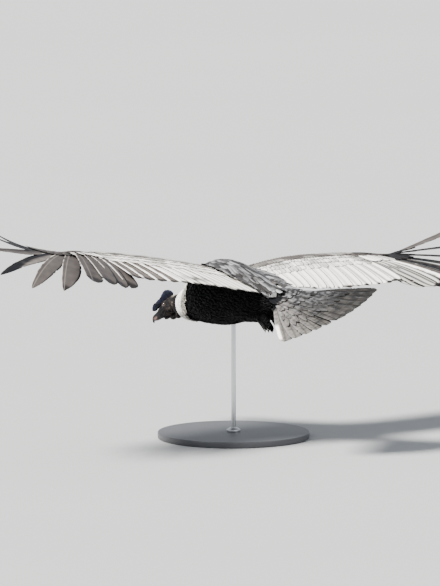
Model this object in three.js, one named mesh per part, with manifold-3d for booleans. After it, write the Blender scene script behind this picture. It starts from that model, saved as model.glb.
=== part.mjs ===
// A life-size Andean condor, an adult male, gliding on spread wings above a plain display stand.
// Millimetres, +Z up. The bird heads to -Y and its left wing points to +X.
// The origin is the middle of the underside of the stand's base.
// The bird is drawn level in its own frame, whose origin lies between the shoulders, and is then
// banked and lifted onto the rod as one group.

import * as THREE from "three";
import { mergeVertices } from "three/addons/utils/BufferGeometryUtils.js";
import Module from "manifold-3d";

const wasm = await Module();
wasm.setup();

const GAP = 0.3;

// Attitude of the bird on its stand.
const SHOULDER_HEIGHT = 590;
const ROD_AFT_OF_SHOULDERS = 50;
const BANK_DEG = -6.7;
const NOSE_UP_DEG = 1.3;

// Torso: each column is one upright section, from the breast to the rump.
const TORSO_AFT = [-212, -188, -130, -60, 40, 120, 200, 280, 345];
const TORSO_MIDDLE = [-108, -101, -70, -44, -35, -33, -36, -40, -23];
const TORSO_HALF_WIDTH = [40, 66, 101, 121, 122, 112, 92, 66, 42];
const TORSO_HALF_HEIGHT = [44, 67, 98, 123, 122, 102, 88, 71, 43];
const TORSO_SIDES = 18;
const BACK_HALF_WIDTH = 122;

// Neck: each column is one ring of the bare neck, from the breast to the back of the skull.
const NECK_POINTS = [[0, -205, -108], [0, -245, -113], [5, -280, -122], [11, -305, -128]];
const NECK_RADII = [50, 45, 41, 34];

// Head, drawn facing -Y about the middle of the skull, then turned and set on the neck.
const HEAD_PLACE = [15, -318, -131];
const HEAD_TURN_DEG = 25;
const HEAD_DOWN_DEG = 38;
const SKULL_AHEAD = [-46, -34, -14, 8, 28, 46, 60];
const SKULL_HALF_WIDTH = [16, 28, 34, 34, 29, 20, 15];
const SKULL_TOP = [16, 28, 33, 33, 29, 22, 17];
const SKULL_BOTTOM = [-14, -27, -33, -34, -31, -25, -22];

// Comb: a fleshy ridge of lobes from the cere back over the crown.
const COMB_AHEAD = [-27, -22, -9, 6, 22, 42, 62, 76, 84];
const COMB_TOP = [45, 55, 65, 65, 57, 49, 46, 42, 33];
const COMB_BOTTOM = [34, 29, 27, 27, 26, 23, 19, 16, 21];
const COMB_HALF_WIDTH = [4, 8, 11, 10, 9, 9, 9, 8, 4];

// Bill: the upper half with its hooked tip, and the lower half under it.
const BILL_AHEAD = [58, 70, 82, 92, 99, 103.5, 106];
const BILL_TOP = [14, 11, 9.5, 7, 2, -4, -12];
const BILL_EDGE = [-9, -10, -11, -12, -14, -17, -19];
const BILL_HALF_WIDTH = [14, 12.5, 11, 9, 7, 5, 2.5];
const LOWER_BILL_AHEAD = [58, 68, 80, 90];
const LOWER_BILL_BOTTOM = [-21, -20.5, -19.5, -15.5];
const BILL_BITE = 3;
const LOWER_BILL_HALF_WIDTH = [12, 11, 9, 5];

// Eye and its lids.
const EYE_RADIUS = 8.5;
const EYE_AHEAD = 17;
const EYE_UP = 14;
const EYE_OUT = 23.5;

// Folds of bare skin: each is a radius, how it is stretched (out, ahead, up) and where it lies.
const FACE_FOLDS = [
  [8, [0.6, 1.6, 0.6], [22, 14, 26]],
  [9, [0.7, 0.9, 1.4], [30, -18, 0]],
  [9, [0.7, 1.4, 0.9], [26, 6, -20]],
];
const WATTLE_FOLDS = [
  [10, [1, 1.7, 0.8], [0, 38, -28]],
  [13, [1.1, 1.2, 1], [0, 15, -39]],
  [14, [1.2, 1.1, 1.1], [0, -6, -44]],
];
const NOSTRIL = { size: [24, 4.5, 2], place: [0, 52, 8] };
const MOUTH_CORNER = { size: [4, 15, 0.9], place: [22, 46, -12] };
const LID = { radius: 7.8, thickness: 2.3, proud: 5.2 };

// Ruff: a ring of down round the root of the neck.
const RUFF_AFT = -236;
const RUFF_MIDDLE = -112;
const RUFF_CORE_RADIUS = 48;
const RUFF_CORE_DEPTH = 6;
const RUFF_CORE_HALF_LENGTH = 13;
const RUFF_REACH = 61;
const RUFF_LOCKS = 11;
const RUFF_LEANS = [-13, 11];
const RUFF_LOCK = {
  at: [0, 0.6, 1],
  halfWidth: [14, 18, 9],
  halfThickness: [2.6, 2.4, 0.7],
  sweep: 6,
  tilt: 0.25,
};

// Wings. "Out" runs from the middle of the back to the wing tip, "aft" towards the tail.
// The arm's section lists how far back in its depth each corner lies and how high in its thickness.
const WING_OUT = [95, 300, 600, 790];
const LEADING_EDGE = [-56, -63, -90, -52];
const ARM_DEPTH = [110, 95, 78, 16];
const ARM_THICKNESS = [58, 42, 30, 9];
const ARM_NOSE = 6;
const ARM_OUT = [55, 95, 180, 300, 420, 520, 600, 670, 740, 800];
const ARM_SECTION = [
  [0, -0.15], [0.08, 0.06], [0.3, 0.15], [0.65, 0.13], [1, 0.05],
  [1, -0.08], [0.65, -0.45], [0.3, -0.8], [0.08, -0.55],
];

// How each wing is held: the rise of its leading edge, the slope and camber of what lies behind
// it, and how far its ten outer feathers are spread (degrees from straight aft), raised, curled and
// tilted, their outer side up.
const CAMBER_LENGTH = 450;
const LEFT_WING = {
  side: 1,
  rise: [53, 73, 83, 84],
  slope: [-0.006, -0.01, -0.022, 0.016],
  camber: [0.165, 0.164, 0.186, 0.09],
  fingerAngle: [9, 27, 38, 57.5, 86],
  fingerRise: [7.5, 6.9, 3.7, 2.8, 4.2],
  fingerCurl: [-0.33, -0.225, -0.23, -0.13, 0.34],
  fingerTilt: [0.12, 0.15, 0.17, 0.19, 0.24],
};
const RIGHT_WING = {
  side: -1,
  rise: [54, 101, 125, 137],
  slope: [-0.04, -0.019, 0.01, 0.021],
  camber: [0.13, 0.222, 0.166, 0.091],
  fingerAngle: [11, 13, 25, 60, 112],
  fingerRise: [2.2, 1.2, 1.6, 3.5, 12],
  fingerCurl: [-0.19, -0.11, -0.125, -0.14, 0.04],
  fingerTilt: [0.14, 0.27, 0.2, 0.11, -0.21],
};
const FINGER_AT = [0, 0.33, 0.45, 0.67, 1];
const FINGER_LENGTH = [400, 500, 565, 635, 598];
const FINGER_BEND_DEG = 4;
const FINGER_ROOTS = { out: [605, 785], aft: [-80, -50] };

// Flight feathers. Widths run along the vane, from the quill to the tip, on its outer and inner side.
const PRIMARY_COUNT = 10;
const EMARGINATED_FROM = 4;
const BROAD_PRIMARY = {
  at: [0, 0.14, 0.5, 0.84, 0.96, 1],
  outer: [3, 14, 24, 26, 16, 4],
  inner: [3, 24, 50, 52, 26, 4],
};
const FINGER_PRIMARY = {
  at: [0, 0.14, 0.45, 0.7, 0.88, 1],
  outer: [3, 12, 17, 15, 11, 2],
  inner: [3, 24, 54, 56, 34, 2],
};
const NARROW_INNER = [3, 22, 42, 30, 20, 2];
const NARROWING_OVER = 2;
const PRIMARY_SUNK = 5;
const SECONDARY_COUNT = 14;
const SECONDARY_ROOTS = { out: [125, 590], aft: [10, -60] };
const SECONDARY_AT = [0, 0.5, 1];
const SECONDARY_ANGLE = [-13, -12, 3];
const SECONDARY_LENGTH = [310, 355, 340];
const SECONDARY = {
  at: [0, 0.18, 0.6, 0.93, 1],
  outer: [3, 18, 25, 24, 8],
  inner: [3, 30, 46, 44, 12],
};
const SECONDARY_TILT = 0.09;
const NARROW_SECONDARY = { ...SECONDARY, inner: [3, 22, 32, 30, 10] };
const SECONDARY_LIFT = [-3, 0];
const TERTIAL = { root: { out: 101, aft: 32 }, angle: -13, length: 248, lift: [-1, 4.5] };

// Coverts of the wing: how far their roots lie behind the leading edge, how long they are, and how
// high they lie over the flight feathers at the root and at the tip.
const COVERT = { at: [0, 0.45, 0.9, 1], outer: [4, 18, 14, 4], inner: [4, 22, 16, 4] };
const COVERT_TILT = 0.08;
const GREATER_COVERTS = { count: 11, behind: 52, length: [150, 160, 135], lift: [0, 8] };
const MEDIAN_COVERTS = { count: 9, behind: 28, length: [106, 106, 90], lift: [0, 11] };
const UNDER_COVERTS = { count: 6, behind: 56, length: [130, 140, 115], lift: [-10, -8] };
const PRIMARY_COVERTS = { count: 7, length: 150, lift: [0, 10] };
const ALULA = [
  { out: 604, ahead: 6, angle: 76, length: 150, lift: 1.5 },
  { out: 598, ahead: 8, angle: 80, length: 112, lift: 4 },
];

// How thick a vane is at its edge, how far its shaft stands above and below the middle of it and
// how much of that is gone at the tip, and the share of its length where a covert lies at full lift.
const VANE_EDGE = 0.9;
const SHAFT_ABOVE = 1.4;
const SHAFT_BELOW = 0.9;
const SHAFT_TAPER = 0.75;
const LIFTED_AT = 0.42;

// Tail: a fan that is rolled, so that its left side hangs lower.
const TAIL_ROOT = [0, 362, -4];
const TAIL_ROLL_DEG = 28;
const TAIL_DROOP_DEG = 4;
const TAIL_SPREAD_DEG = 31;
const TAIL_LENGTH = [380, 395];
const TAIL_HALF_ROOT = 30;
const TAIL_COUNT = 12;
const RECTRIX = { at: [0, 0.2, 0.6, 0.93, 1], outer: [3, 10, 21, 18, 7], inner: [3, 13, 36, 34, 12] };
const TAIL_TILT = 0.14;
const TAIL_STEP_DOWN = 7;
const TAIL_LEFT_RISE = 1.6;
const TAIL_COVERTS = [
  { count: 6, aft: 30, length: 175, spread: 27, lift: [2, 11] },
  { count: 6, aft: -20, length: 150, spread: 25, lift: [12, 21] },
  { count: 4, aft: 20, length: 160, spread: 20, lift: [-8, -20] },
];
const TAIL_COVERT = { at: [0, 0.5, 0.88, 1], outer: [4, 16, 19, 6], inner: [4, 16, 19, 6] };

// The fleshy root of the tail: how far aft each section lies, its middle, half width and half height.
const TAIL_CORE = [[-45, -8, 44, 34], [0, -4, 42, 28], [45, -2, 44, 14], [90, 0, 46, 4]];

// Feather tiers of the back: where the roots of a row lie, how long its feathers are and how they
// fan out. Their lift is told over the body, over the wings and, further aft, over the inner
// feathers of the wings. On the left those nearest the middle line lie a little higher.
const BACK_ROWS = [
  { aft: -92, length: 125, outs: [15, 35, 52], angles: [4, 10, 15] },
  { aft: -10, length: 150, outs: [15, 35, 52], angles: [4, 10, 15] },
  { aft: 62, length: 165, outs: [13, 29, 42], angles: [4, 10, 16] },
  { aft: 168, length: 150, outs: [6, 12], angles: [5, 15] },
];
const BACK_SUNK = 3;
const BACK_TILT = 0.15;
const BACK_LIFT = { body: 3, wing: 15, innerWing: 13.5, tip: 4, leftMiddle: 3 };
const INNER_WING_AFT = [50, 110];
const MIDDLE_LINE_OUT = 20;
const SHOULDER_OUT = 60;
const BACK_FEATHER = { at: [0, 0.35, 0.82, 1], outer: [6, 22, 20, 6], inner: [6, 22, 20, 6] };

// Legs, folded back under the tail, with the toes half closed.
const SHANK = [[36, 205, -78], [36, 262, -99], [35, 305, -110]];
const SHANK_RADII = [20, 13, 11];
const TOE_SPREAD = [-14, 0, 14];
// A toe's path lists the share of its spread, how far aft it is and how high.
const TOE_PATH = [[0, 290, -108], [0.6, 335, -119], [1, 368, -134], [1, 382, -150]];
const TOE_RADII = [9, 8, 6, 1.5];
const HIND_TOE = [[296, -108], [306, -126], [318, -140], [330, -148]];

// Stand.
const BASE_RADIUS = 290;
const BASE_THICKNESS = 24;
const BASE_BEVEL = 4;
const ROD_RADIUS = 9;
const COLLAR_RADIUS = 26;
const COLLAR_HEIGHT = 16;
const COLLAR_LIP = 4;

const COLOURS = {
  black: { color: 0x15151a, roughness: 0.75, metalness: 0 },
  slate: { color: 0x6d6b69, roughness: 0.6, metalness: 0 },
  down: { color: 0xe9e6df, roughness: 0.9, metalness: 0 },
  skin: { color: 0x3a3030, roughness: 0.65, metalness: 0 },
  comb: { color: 0x1c2230, roughness: 0.55, metalness: 0 },
  ivory: { color: 0xcfc2ae, roughness: 0.35, metalness: 0 },
  eye: { color: 0x3b2416, roughness: 0.08, metalness: 0 },
  scale: { color: 0x4a4845, roughness: 0.6, metalness: 0 },
  painted: { color: 0x2a2b2d, roughness: 0.5, metalness: 0.2 },
  steel: { color: 0xb9bcc0, roughness: 0.3, metalness: 1 },
};

// Small helpers.

const rad = THREE.MathUtils.degToRad;
const V = (x, y, z) => new THREE.Vector3(x, y, z);
const { lerp } = THREE.MathUtils;

// A steady source of small differences between like pieces, from -1 to 1.
THREE.MathUtils.seededRandom(7);
const vary = (amount) => amount * (2 * THREE.MathUtils.seededRandom() - 1);

// Smooth curve through values at given places, straight beyond both ends.
function spline(places, values, at) {
  const last = places.length - 1;
  const slopes = values.map((value, i) => {
    const a = Math.max(i - 1, 0);
    const b = Math.min(i + 1, last);
    return (values[b] - values[a]) / (places[b] - places[a]);
  });
  if (at <= places[0]) return values[0] + (at - places[0]) * slopes[0];
  if (at >= places[last]) return values[last] + (at - places[last]) * slopes[last];
  const k = places.findIndex((place, i) => at >= place && at < places[i + 1]);
  const h = places[k + 1] - places[k];
  const t = (at - places[k]) / h;
  const rise = (3 - 2 * t) * t * t;
  const swing = h * t * (1 - t);
  return values[k] * (1 - rise) + values[k + 1] * rise
    + swing * ((1 - t) * slopes[k] - t * slopes[k + 1]);
}

// Indexed geometry with its faces turned outwards.
function closedGeometry(points, faces) {
  let volume = 0;
  for (let i = 0; i < faces.length; i += 3) {
    const [a, b, c] = [points[faces[i]], points[faces[i + 1]], points[faces[i + 2]]];
    volume += a.dot(V(0, 0, 0).crossVectors(b, c));
  }
  const index = volume < 0 ? faces.toReversed() : faces;
  const geometry = new THREE.BufferGeometry();
  const numbers = points.flatMap((point) => point.toArray());
  geometry.setAttribute("position", new THREE.Float32BufferAttribute(numbers, 3));
  geometry.setIndex(index);
  return geometry;
}

// Skin over a row of rings, closed by a fan at each end.
function loft(rings) {
  const count = rings[0].length;
  const points = rings.flat();
  const faces = [];
  for (let j = 0; j < rings.length - 1; j++) {
    for (let k = 0; k < count; k++) {
      const a = j * count + k;
      const b = j * count + ((k + 1) % count);
      faces.push(a, b, b + count, a, b + count, a + count);
    }
  }
  for (const j of [0, rings.length - 1]) {
    const centre = rings[j].reduce((sum, point) => sum.add(point), V(0, 0, 0)).divideScalar(count);
    points.push(centre);
    for (let k = 0; k < count; k++) {
      const edge = [j * count + k, j * count + ((k + 1) % count)];
      if (j === 0) edge.reverse();
      faces.push(edge[0], edge[1], points.length - 1);
    }
  }
  return closedGeometry(points, faces);
}

// A thin blade. Each row lists the places across it, with how far its faces lie above and below.
// Both faces are split along the same diagonals, so that they stay apart where the blade bends.
function blade(rows) {
  const count = rows[0].length * 2;
  const points = rows.flatMap((row) => [
    ...row.map(({ at, above }) => at.clone().add(V(0, 0, above))),
    ...row.toReversed().map(({ at, below }) => at.clone().add(V(0, 0, -below))),
  ]);
  const faces = [];
  for (let j = 0; j < rows.length - 1; j++) {
    for (let k = 0; k < count; k++) {
      const a = j * count + k;
      const b = j * count + ((k + 1) % count);
      const under = k >= count / 2 && k < count - 1;
      if (under) faces.push(a, b, a + count, b, b + count, a + count);
      else faces.push(a, b, b + count, a, b + count, a + count);
    }
  }
  for (const j of [0, rows.length - 1]) {
    for (let k = 0; k < count / 2 - 1; k++) {
      const quad = [k, count - 1 - k, count - 2 - k, k + 1].map((corner) => j * count + corner);
      if (j > 0) quad.reverse();
      faces.push(quad[0], quad[1], quad[2], quad[0], quad[2], quad[3]);
    }
  }
  return closedGeometry(points, faces);
}

// Places along a body, with the first and the last moved outwards.
const stretchEnds = (places, grow) => places.map((place, i) => (
  place + (i === 0 ? -grow : 0) + (i === places.length - 1 ? grow : 0)
));

// Corners of an ellipse, from its centre and its two half axes.
function ellipseRing(centre, across, up, count) {
  return Array.from({ length: count }, (_, k) => {
    const angle = (2 * Math.PI * k) / count;
    return centre.clone().addScaledVector(across, Math.cos(angle)).addScaledVector(up, Math.sin(angle));
  });
}

// A round rod through places in space, with its own radius at each.
function tube(places, radii, sides) {
  return loft(places.map((place, i) => {
    const next = places[Math.min(i + 1, places.length - 1)];
    const ahead = next.clone().sub(places[Math.max(i - 1, 0)]).normalize();
    const across = V(0, 0, 1).cross(ahead).normalize();
    const up = ahead.clone().cross(across);
    return ellipseRing(place, across.multiplyScalar(radii[i]), up.multiplyScalar(radii[i]), sides);
  }));
}

// Closed solids, joined and cut.

function solidOf(geometry) {
  const bare = geometry.clone();
  bare.deleteAttribute("normal");
  bare.deleteAttribute("uv");
  const merged = mergeVertices(bare, 1e-4);
  return new wasm.Manifold(new wasm.Mesh({
    numProp: 3,
    vertProperties: new Float32Array(merged.attributes.position.array),
    triVerts: new Uint32Array(merged.index.array),
  }));
}

const join = (solids) => solids.reduce((sum, solid) => sum.add(solid));
const cut = (solid, ...tools) => tools.reduce((rest, tool) => rest.subtract(tool), solid);

// The largest closed surface of a solid, as a geometry.
function geometryOf(solid) {
  const pieces = solid.decompose();
  pieces.sort((a, b) => b.volume() - a.volume());
  const mesh = pieces[0].getMesh();
  const geometry = new THREE.BufferGeometry();
  geometry.setAttribute("position", new THREE.Float32BufferAttribute(mesh.vertProperties, 3));
  geometry.setIndex(Array.from(mesh.triVerts));
  return geometry;
}

function node(name, colour, solid) {
  const mesh = new THREE.Mesh(geometryOf(solid), new THREE.MeshStandardMaterial(COLOURS[colour]));
  mesh.name = name;
  return mesh;
}

// Torso.

function torsoGeometry(grow = 0) {
  return loft(stretchEnds(TORSO_AFT, grow).map((aft, i) => ellipseRing(
    V(0, aft, TORSO_MIDDLE[i]),
    V(TORSO_HALF_WIDTH[i] + grow, 0, 0),
    V(0, 0, TORSO_HALF_HEIGHT[i] + grow),
    TORSO_SIDES,
  )));
}

const torsoSolid = (grow = 0) => solidOf(torsoGeometry(grow));

// Height of the back's own surface at a place on it, or of the flank's middle beside it.
function backHeight(out, aft) {
  const width = spline(TORSO_AFT, TORSO_HALF_WIDTH, aft);
  const height = spline(TORSO_AFT, TORSO_HALF_HEIGHT, aft);
  const inside = Math.max(1 - (out / width) ** 2, 0);
  return spline(TORSO_AFT, TORSO_MIDDLE, aft) + height * Math.sqrt(inside);
}

// Places along a flat path that leaves its root at an angle from straight aft and bends back.
function planPath(root, angle, length, bend, t) {
  const chord = rad(angle - bend * 0.4 * t ** 1.5);
  const heading = rad(angle - bend * t ** 1.5);
  return {
    out: root.out + Math.sin(chord) * length * t,
    aft: root.aft + Math.cos(chord) * length * t,
    across: { out: Math.cos(heading), aft: -Math.sin(heading) },
  };
}

// One feather. The form gives its widths, place(out, aft, t) its height, and the tilt lifts its
// outer side. A feather with a shaft has three places across, and one without has two.
function feather({ side, form, root, angle, length, bend = 0, tilt, shaft, place }) {
  return blade(form.at.map((t, i) => {
    const centre = planPath(root, angle, length, bend, t);
    const spot = (across, above, below) => {
      const out = centre.out + centre.across.out * across;
      const aft = centre.aft + centre.across.aft * across;
      const up = place(out, aft, t) + across * tilt * Math.min(t / form.at[1], 1);
      return { at: V(side * out, aft, up), above, below };
    };
    const half = VANE_EDGE / 2;
    const row = [spot(-form.inner[i], half, half), spot(form.outer[i], half, half)];
    const taper = 1 - SHAFT_TAPER * t;
    if (shaft) row.splice(1, 0, spot(0, half + SHAFT_ABOVE * taper, half + SHAFT_BELOW * taper));
    return row;
  }));
}

// Feathers of the back, laid over the body and, further out, over the roots of the wings.
function backFeathers() {
  const feathers = [];
  for (const row of BACK_ROWS) {
    for (const side of [1, -1]) {
      for (const [i, out] of row.outs.entries()) {
        feathers.push(feather({
          side,
          form: BACK_FEATHER,
          root: { out, aft: row.aft + vary(6) },
          angle: row.angles[i] + vary(1.5),
          length: row.length * (1 + vary(0.04)),
          tilt: BACK_TILT,
          place: (x, y, t) => {
            const wing = side > 0 ? LEFT_WING : RIGHT_WING;
            const inside = Math.max(SHOULDER_OUT - x, 0);
            const overWing = wingHeight(wing, x, y) + BACK_LIFT.wing - inside;
            const overInner = THREE.MathUtils.smoothstep(y, ...INNER_WING_AFT) * BACK_LIFT.innerWing;
            const under = Math.max(backHeight(x, y) + BACK_LIFT.body + overInner, overWing);
            const middle = side > 0 && out < MIDDLE_LINE_OUT ? BACK_LIFT.leftMiddle : 0;
            const sunk = backHeight(out, row.aft) - BACK_SUNK;
            return t === 0 ? sunk : under + BACK_LIFT.tip * t + middle;
          },
        }));
      }
    }
  }
  return feathers;
}

// Neck.

function neckSolid(grow = 0) {
  return solidOf(loft(NECK_POINTS.map((point, i) => ellipseRing(
    V(...point), V(NECK_RADII[i] + grow, 0, 0), V(0, 0, NECK_RADII[i] + grow), 14,
  ))));
}

// Head and what it carries, in the head's own frame and then turned onto the neck.

function headPlace() {
  const turn = new THREE.Euler(rad(HEAD_DOWN_DEG), 0, rad(HEAD_TURN_DEG), "ZXY");
  return new THREE.Matrix4().makeRotationFromEuler(turn).setPosition(...HEAD_PLACE);
}

const onHead = (geometry) => solidOf(geometry.applyMatrix4(headPlace()));

function uprightLoft(ahead, halfWidth, top, bottom, sides, grow = 0) {
  return loft(stretchEnds(ahead, grow).map((place, i) => ellipseRing(
    V(0, -place, (top[i] + bottom[i]) / 2),
    V(halfWidth[i] + grow, 0, 0),
    V(0, 0, (top[i] - bottom[i]) / 2 + grow),
    sides,
  )));
}

const bulb = (radius, stretch, place) => new THREE.SphereGeometry(radius, 7, 5)
  .scale(...stretch).translate(place[0], -place[1], place[2]);

function skullSolid(grow = 0) {
  return onHead(uprightLoft(SKULL_AHEAD, SKULL_HALF_WIDTH, SKULL_TOP, SKULL_BOTTOM, 14, grow));
}

// The skull with its eye rings, brow, cheek folds, nostrils and the corner of the mouth.
function headSolid() {
  const folds = [];
  const hollows = [];
  for (const side of [1, -1]) {
    const onSide = ([out, ahead, up]) => [side * out, ahead, up];
    const lid = new THREE.TorusGeometry(LID.radius, LID.thickness, 4, 10).rotateY(Math.PI / 2);
    folds.push(onHead(lid.translate(side * (EYE_OUT + LID.proud), -EYE_AHEAD, EYE_UP)));
    for (const [radius, stretch, place] of FACE_FOLDS) {
      folds.push(onHead(bulb(radius, stretch, onSide(place))));
    }
    hollows.push(eyeSolid(side, GAP));
    hollows.push(onHead(bulb(1, MOUTH_CORNER.size, onSide(MOUTH_CORNER.place))));
  }
  hollows.push(onHead(bulb(1, NOSTRIL.size, NOSTRIL.place)));
  return cut(join([skullSolid(), cut(join(folds), neckSolid(GAP))]), ...hollows);
}

function combSolid() {
  return onHead(uprightLoft(COMB_AHEAD, COMB_HALF_WIDTH, COMB_TOP, COMB_BOTTOM, 10));
}

function wattleSolid() {
  return join(WATTLE_FOLDS.map(([radius, stretch, place]) => onHead(bulb(radius, stretch, place))));
}

function upperBillSolid(grow = 0) {
  return onHead(uprightLoft(BILL_AHEAD, BILL_HALF_WIDTH, BILL_TOP, BILL_EDGE, 10, grow));
}

function lowerBillSolid() {
  const top = LOWER_BILL_AHEAD.map((ahead) => spline(BILL_AHEAD, BILL_EDGE, ahead) + BILL_BITE);
  return onHead(uprightLoft(LOWER_BILL_AHEAD, LOWER_BILL_HALF_WIDTH, top, LOWER_BILL_BOTTOM, 10));
}

function eyeSolid(side, grow = 0) {
  const ball = new THREE.SphereGeometry(EYE_RADIUS + grow, 12, 7);
  return onHead(ball.translate(side * EYE_OUT, -EYE_AHEAD, EYE_UP));
}

// Ruff: a core ring and two tiers of flat locks that lean forwards and backwards.

function ruffSolid() {
  const count = 8;
  const profile = Array.from({ length: count + 1 }, (_, k) => {
    const angle = (2 * Math.PI * (k % count)) / count;
    return new THREE.Vector2(
      RUFF_CORE_RADIUS + RUFF_CORE_DEPTH * Math.cos(angle),
      RUFF_CORE_HALF_LENGTH * Math.sin(angle),
    );
  });
  const ring = new THREE.LatheGeometry(profile, RUFF_LOCKS);
  const solids = [solidOf(ring.translate(0, RUFF_AFT, RUFF_MIDDLE))];
  for (const lean of RUFF_LEANS) {
    for (let i = 0; i < RUFF_LOCKS; i++) {
      const around = ((i + (lean > 0 ? 0.5 : 0)) / RUFF_LOCKS) * 2 * Math.PI + vary(0.05);
      const lock = ruffLock(lean * (1 + vary(0.2)), 1 + vary(0.08));
      lock.rotateY(around).translate(0, RUFF_AFT, RUFF_MIDDLE);
      solids.push(solidOf(lock));
    }
  }
  return join(solids);
}

// One lock of the ruff, rooted in the core and reaching up and along by its lean.
function ruffLock(lean, stretch) {
  const rings = RUFF_LOCK.at.map((t, i) => {
    const reach = lerp(RUFF_CORE_RADIUS, RUFF_REACH * stretch, t ** 0.8);
    const along = lean * t * t;
    return ellipseRing(
      V(RUFF_LOCK.sweep * t * t, along, reach),
      V(RUFF_LOCK.halfWidth[i], 0, RUFF_LOCK.halfWidth[i] * RUFF_LOCK.tilt),
      V(0, RUFF_LOCK.halfThickness[i], -RUFF_LOCK.halfThickness[i] * Math.sign(lean)),
      4,
    );
  });
  return loft(rings);
}

// Wings.

// Height of the wing's middle surface: the arm's own rise, less its slope and camber further aft.
function wingHeight(wing, out, aft) {
  const behind = aft - spline(WING_OUT, LEADING_EDGE, out);
  const drop = spline(WING_OUT, wing.slope, out) * behind;
  const curve = spline(WING_OUT, wing.camber, out) * behind * Math.abs(behind);
  return spline(WING_OUT, wing.rise, out) - drop - curve / CAMBER_LENGTH;
}

function armSolid(wing) {
  return solidOf(loft(ARM_OUT.map((out) => {
    const front = spline(WING_OUT, LEADING_EDGE, out) - ARM_NOSE;
    const depth = spline(WING_OUT, ARM_DEPTH, out) + ARM_NOSE;
    const thickness = spline(WING_OUT, ARM_THICKNESS, out);
    return ARM_SECTION.map(([back, up]) => {
      const aft = front + back * depth;
      return V(wing.side * out, aft, wingHeight(wing, out, aft) + up * thickness);
    });
  })));
}

// Primary q runs from 0, the innermost, to 1, the outermost finger.
function primaryPath(wing, q) {
  return {
    root: { out: lerp(...FINGER_ROOTS.out, q), aft: lerp(...FINGER_ROOTS.aft, q) },
    angle: spline(FINGER_AT, wing.fingerAngle, q),
    length: spline(FINGER_AT, FINGER_LENGTH, q),
    rise: Math.tan(rad(spline(FINGER_AT, wing.fingerRise, q))),
    curl: spline(FINGER_AT, wing.fingerCurl, q),
    tilt: spline(FINGER_AT, wing.fingerTilt, q),
  };
}

// A finger's inner side narrows from the first finger outwards.
function primaryForm(i) {
  if (i < EMARGINATED_FROM) return BROAD_PRIMARY;
  const share = Math.min((i - EMARGINATED_FROM) / NARROWING_OVER, 1);
  const inner = FINGER_PRIMARY.inner.map((width, k) => lerp(width, NARROW_INNER[k], share));
  return { ...FINGER_PRIMARY, inner };
}

function primary(wing, i) {
  const path = primaryPath(wing, i / (PRIMARY_COUNT - 1));
  const base = wingHeight(wing, path.root.out, path.root.aft) - PRIMARY_SUNK;
  const { root, angle, length } = path;
  return feather({
    side: wing.side,
    form: primaryForm(i),
    root,
    angle,
    length,
    bend: FINGER_BEND_DEG,
    tilt: path.tilt,
    shaft: true,
    place: (out, aft, t) => base + length * t * (path.rise + path.curl * t),
  });
}

function primaryCovert(wing, i) {
  const path = primaryPath(wing, (i + 0.5) / PRIMARY_COVERTS.count);
  const base = wingHeight(wing, path.root.out, path.root.aft) - PRIMARY_SUNK;
  const [low, high] = PRIMARY_COVERTS.lift;
  return feather({
    side: wing.side,
    form: COVERT,
    root: path.root,
    angle: path.angle + vary(1),
    length: PRIMARY_COVERTS.length * (1 + vary(0.05)),
    tilt: path.tilt,
    place: (out, aft, t) => {
      const along = PRIMARY_COVERTS.length * t;
      const curl = (path.curl * along) / path.length;
      return base + along * (path.rise + curl) + lerp(low, high, Math.min(t / LIFTED_AT, 1));
    },
  });
}

// Feathers of the inner wing lie on its surface, or on the back where that is higher.
function layInner(wing, low, high) {
  return (out, aft, t) => {
    const lift = lerp(low, high, Math.min(t / LIFTED_AT, 1));
    const onBack = out < BACK_HALF_WIDTH && aft > SHOULDER_OUT;
    const back = onBack ? backHeight(out, aft) + BACK_LIFT.body : -Infinity;
    return Math.max(wingHeight(wing, out, aft), back) + lift;
  };
}

function secondary(wing, i) {
  const q = i / (SECONDARY_COUNT - 1);
  return feather({
    side: wing.side,
    form: SECONDARY,
    root: { out: lerp(...SECONDARY_ROOTS.out, q), aft: lerp(...SECONDARY_ROOTS.aft, q) },
    angle: spline(SECONDARY_AT, SECONDARY_ANGLE, q) + vary(0.4),
    length: spline(SECONDARY_AT, SECONDARY_LENGTH, q) * (1 + vary(0.012)),
    tilt: SECONDARY_TILT,
    place: layInner(wing, ...SECONDARY_LIFT),
  });
}

// The innermost feather of the wing, beside the back.
function tertial(wing) {
  return feather({
    side: wing.side,
    form: NARROW_SECONDARY,
    root: TERTIAL.root,
    angle: TERTIAL.angle,
    length: TERTIAL.length,
    tilt: SECONDARY_TILT,
    place: layInner(wing, ...TERTIAL.lift),
  });
}

function coverts(wing, tier) {
  return Array.from({ length: tier.count }, (_, i) => {
    const q = (i + 0.5) / tier.count;
    const out = lerp(...SECONDARY_ROOTS.out, q);
    return feather({
      side: wing.side,
      form: COVERT,
      root: { out, aft: spline(WING_OUT, LEADING_EDGE, out) + tier.behind + vary(3) },
      angle: spline(SECONDARY_AT, SECONDARY_ANGLE, q) + vary(1.5),
      length: spline(SECONDARY_AT, tier.length, q) * (1 + vary(0.04)),
      tilt: COVERT_TILT,
      place: layInner(wing, ...tier.lift),
    });
  });
}

function alulaFeather(wing, { out, ahead, angle, length, lift }) {
  const root = { out, aft: spline(WING_OUT, LEADING_EDGE, out) + ahead };
  return feather({
    side: wing.side,
    form: COVERT,
    root,
    angle,
    length,
    bend: 8,
    tilt: COVERT_TILT,
    place: (x, y, t) => wingHeight(wing, x, y) + lerp(-1, lift, Math.min(t / LIFTED_AT, 1)),
  });
}

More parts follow.
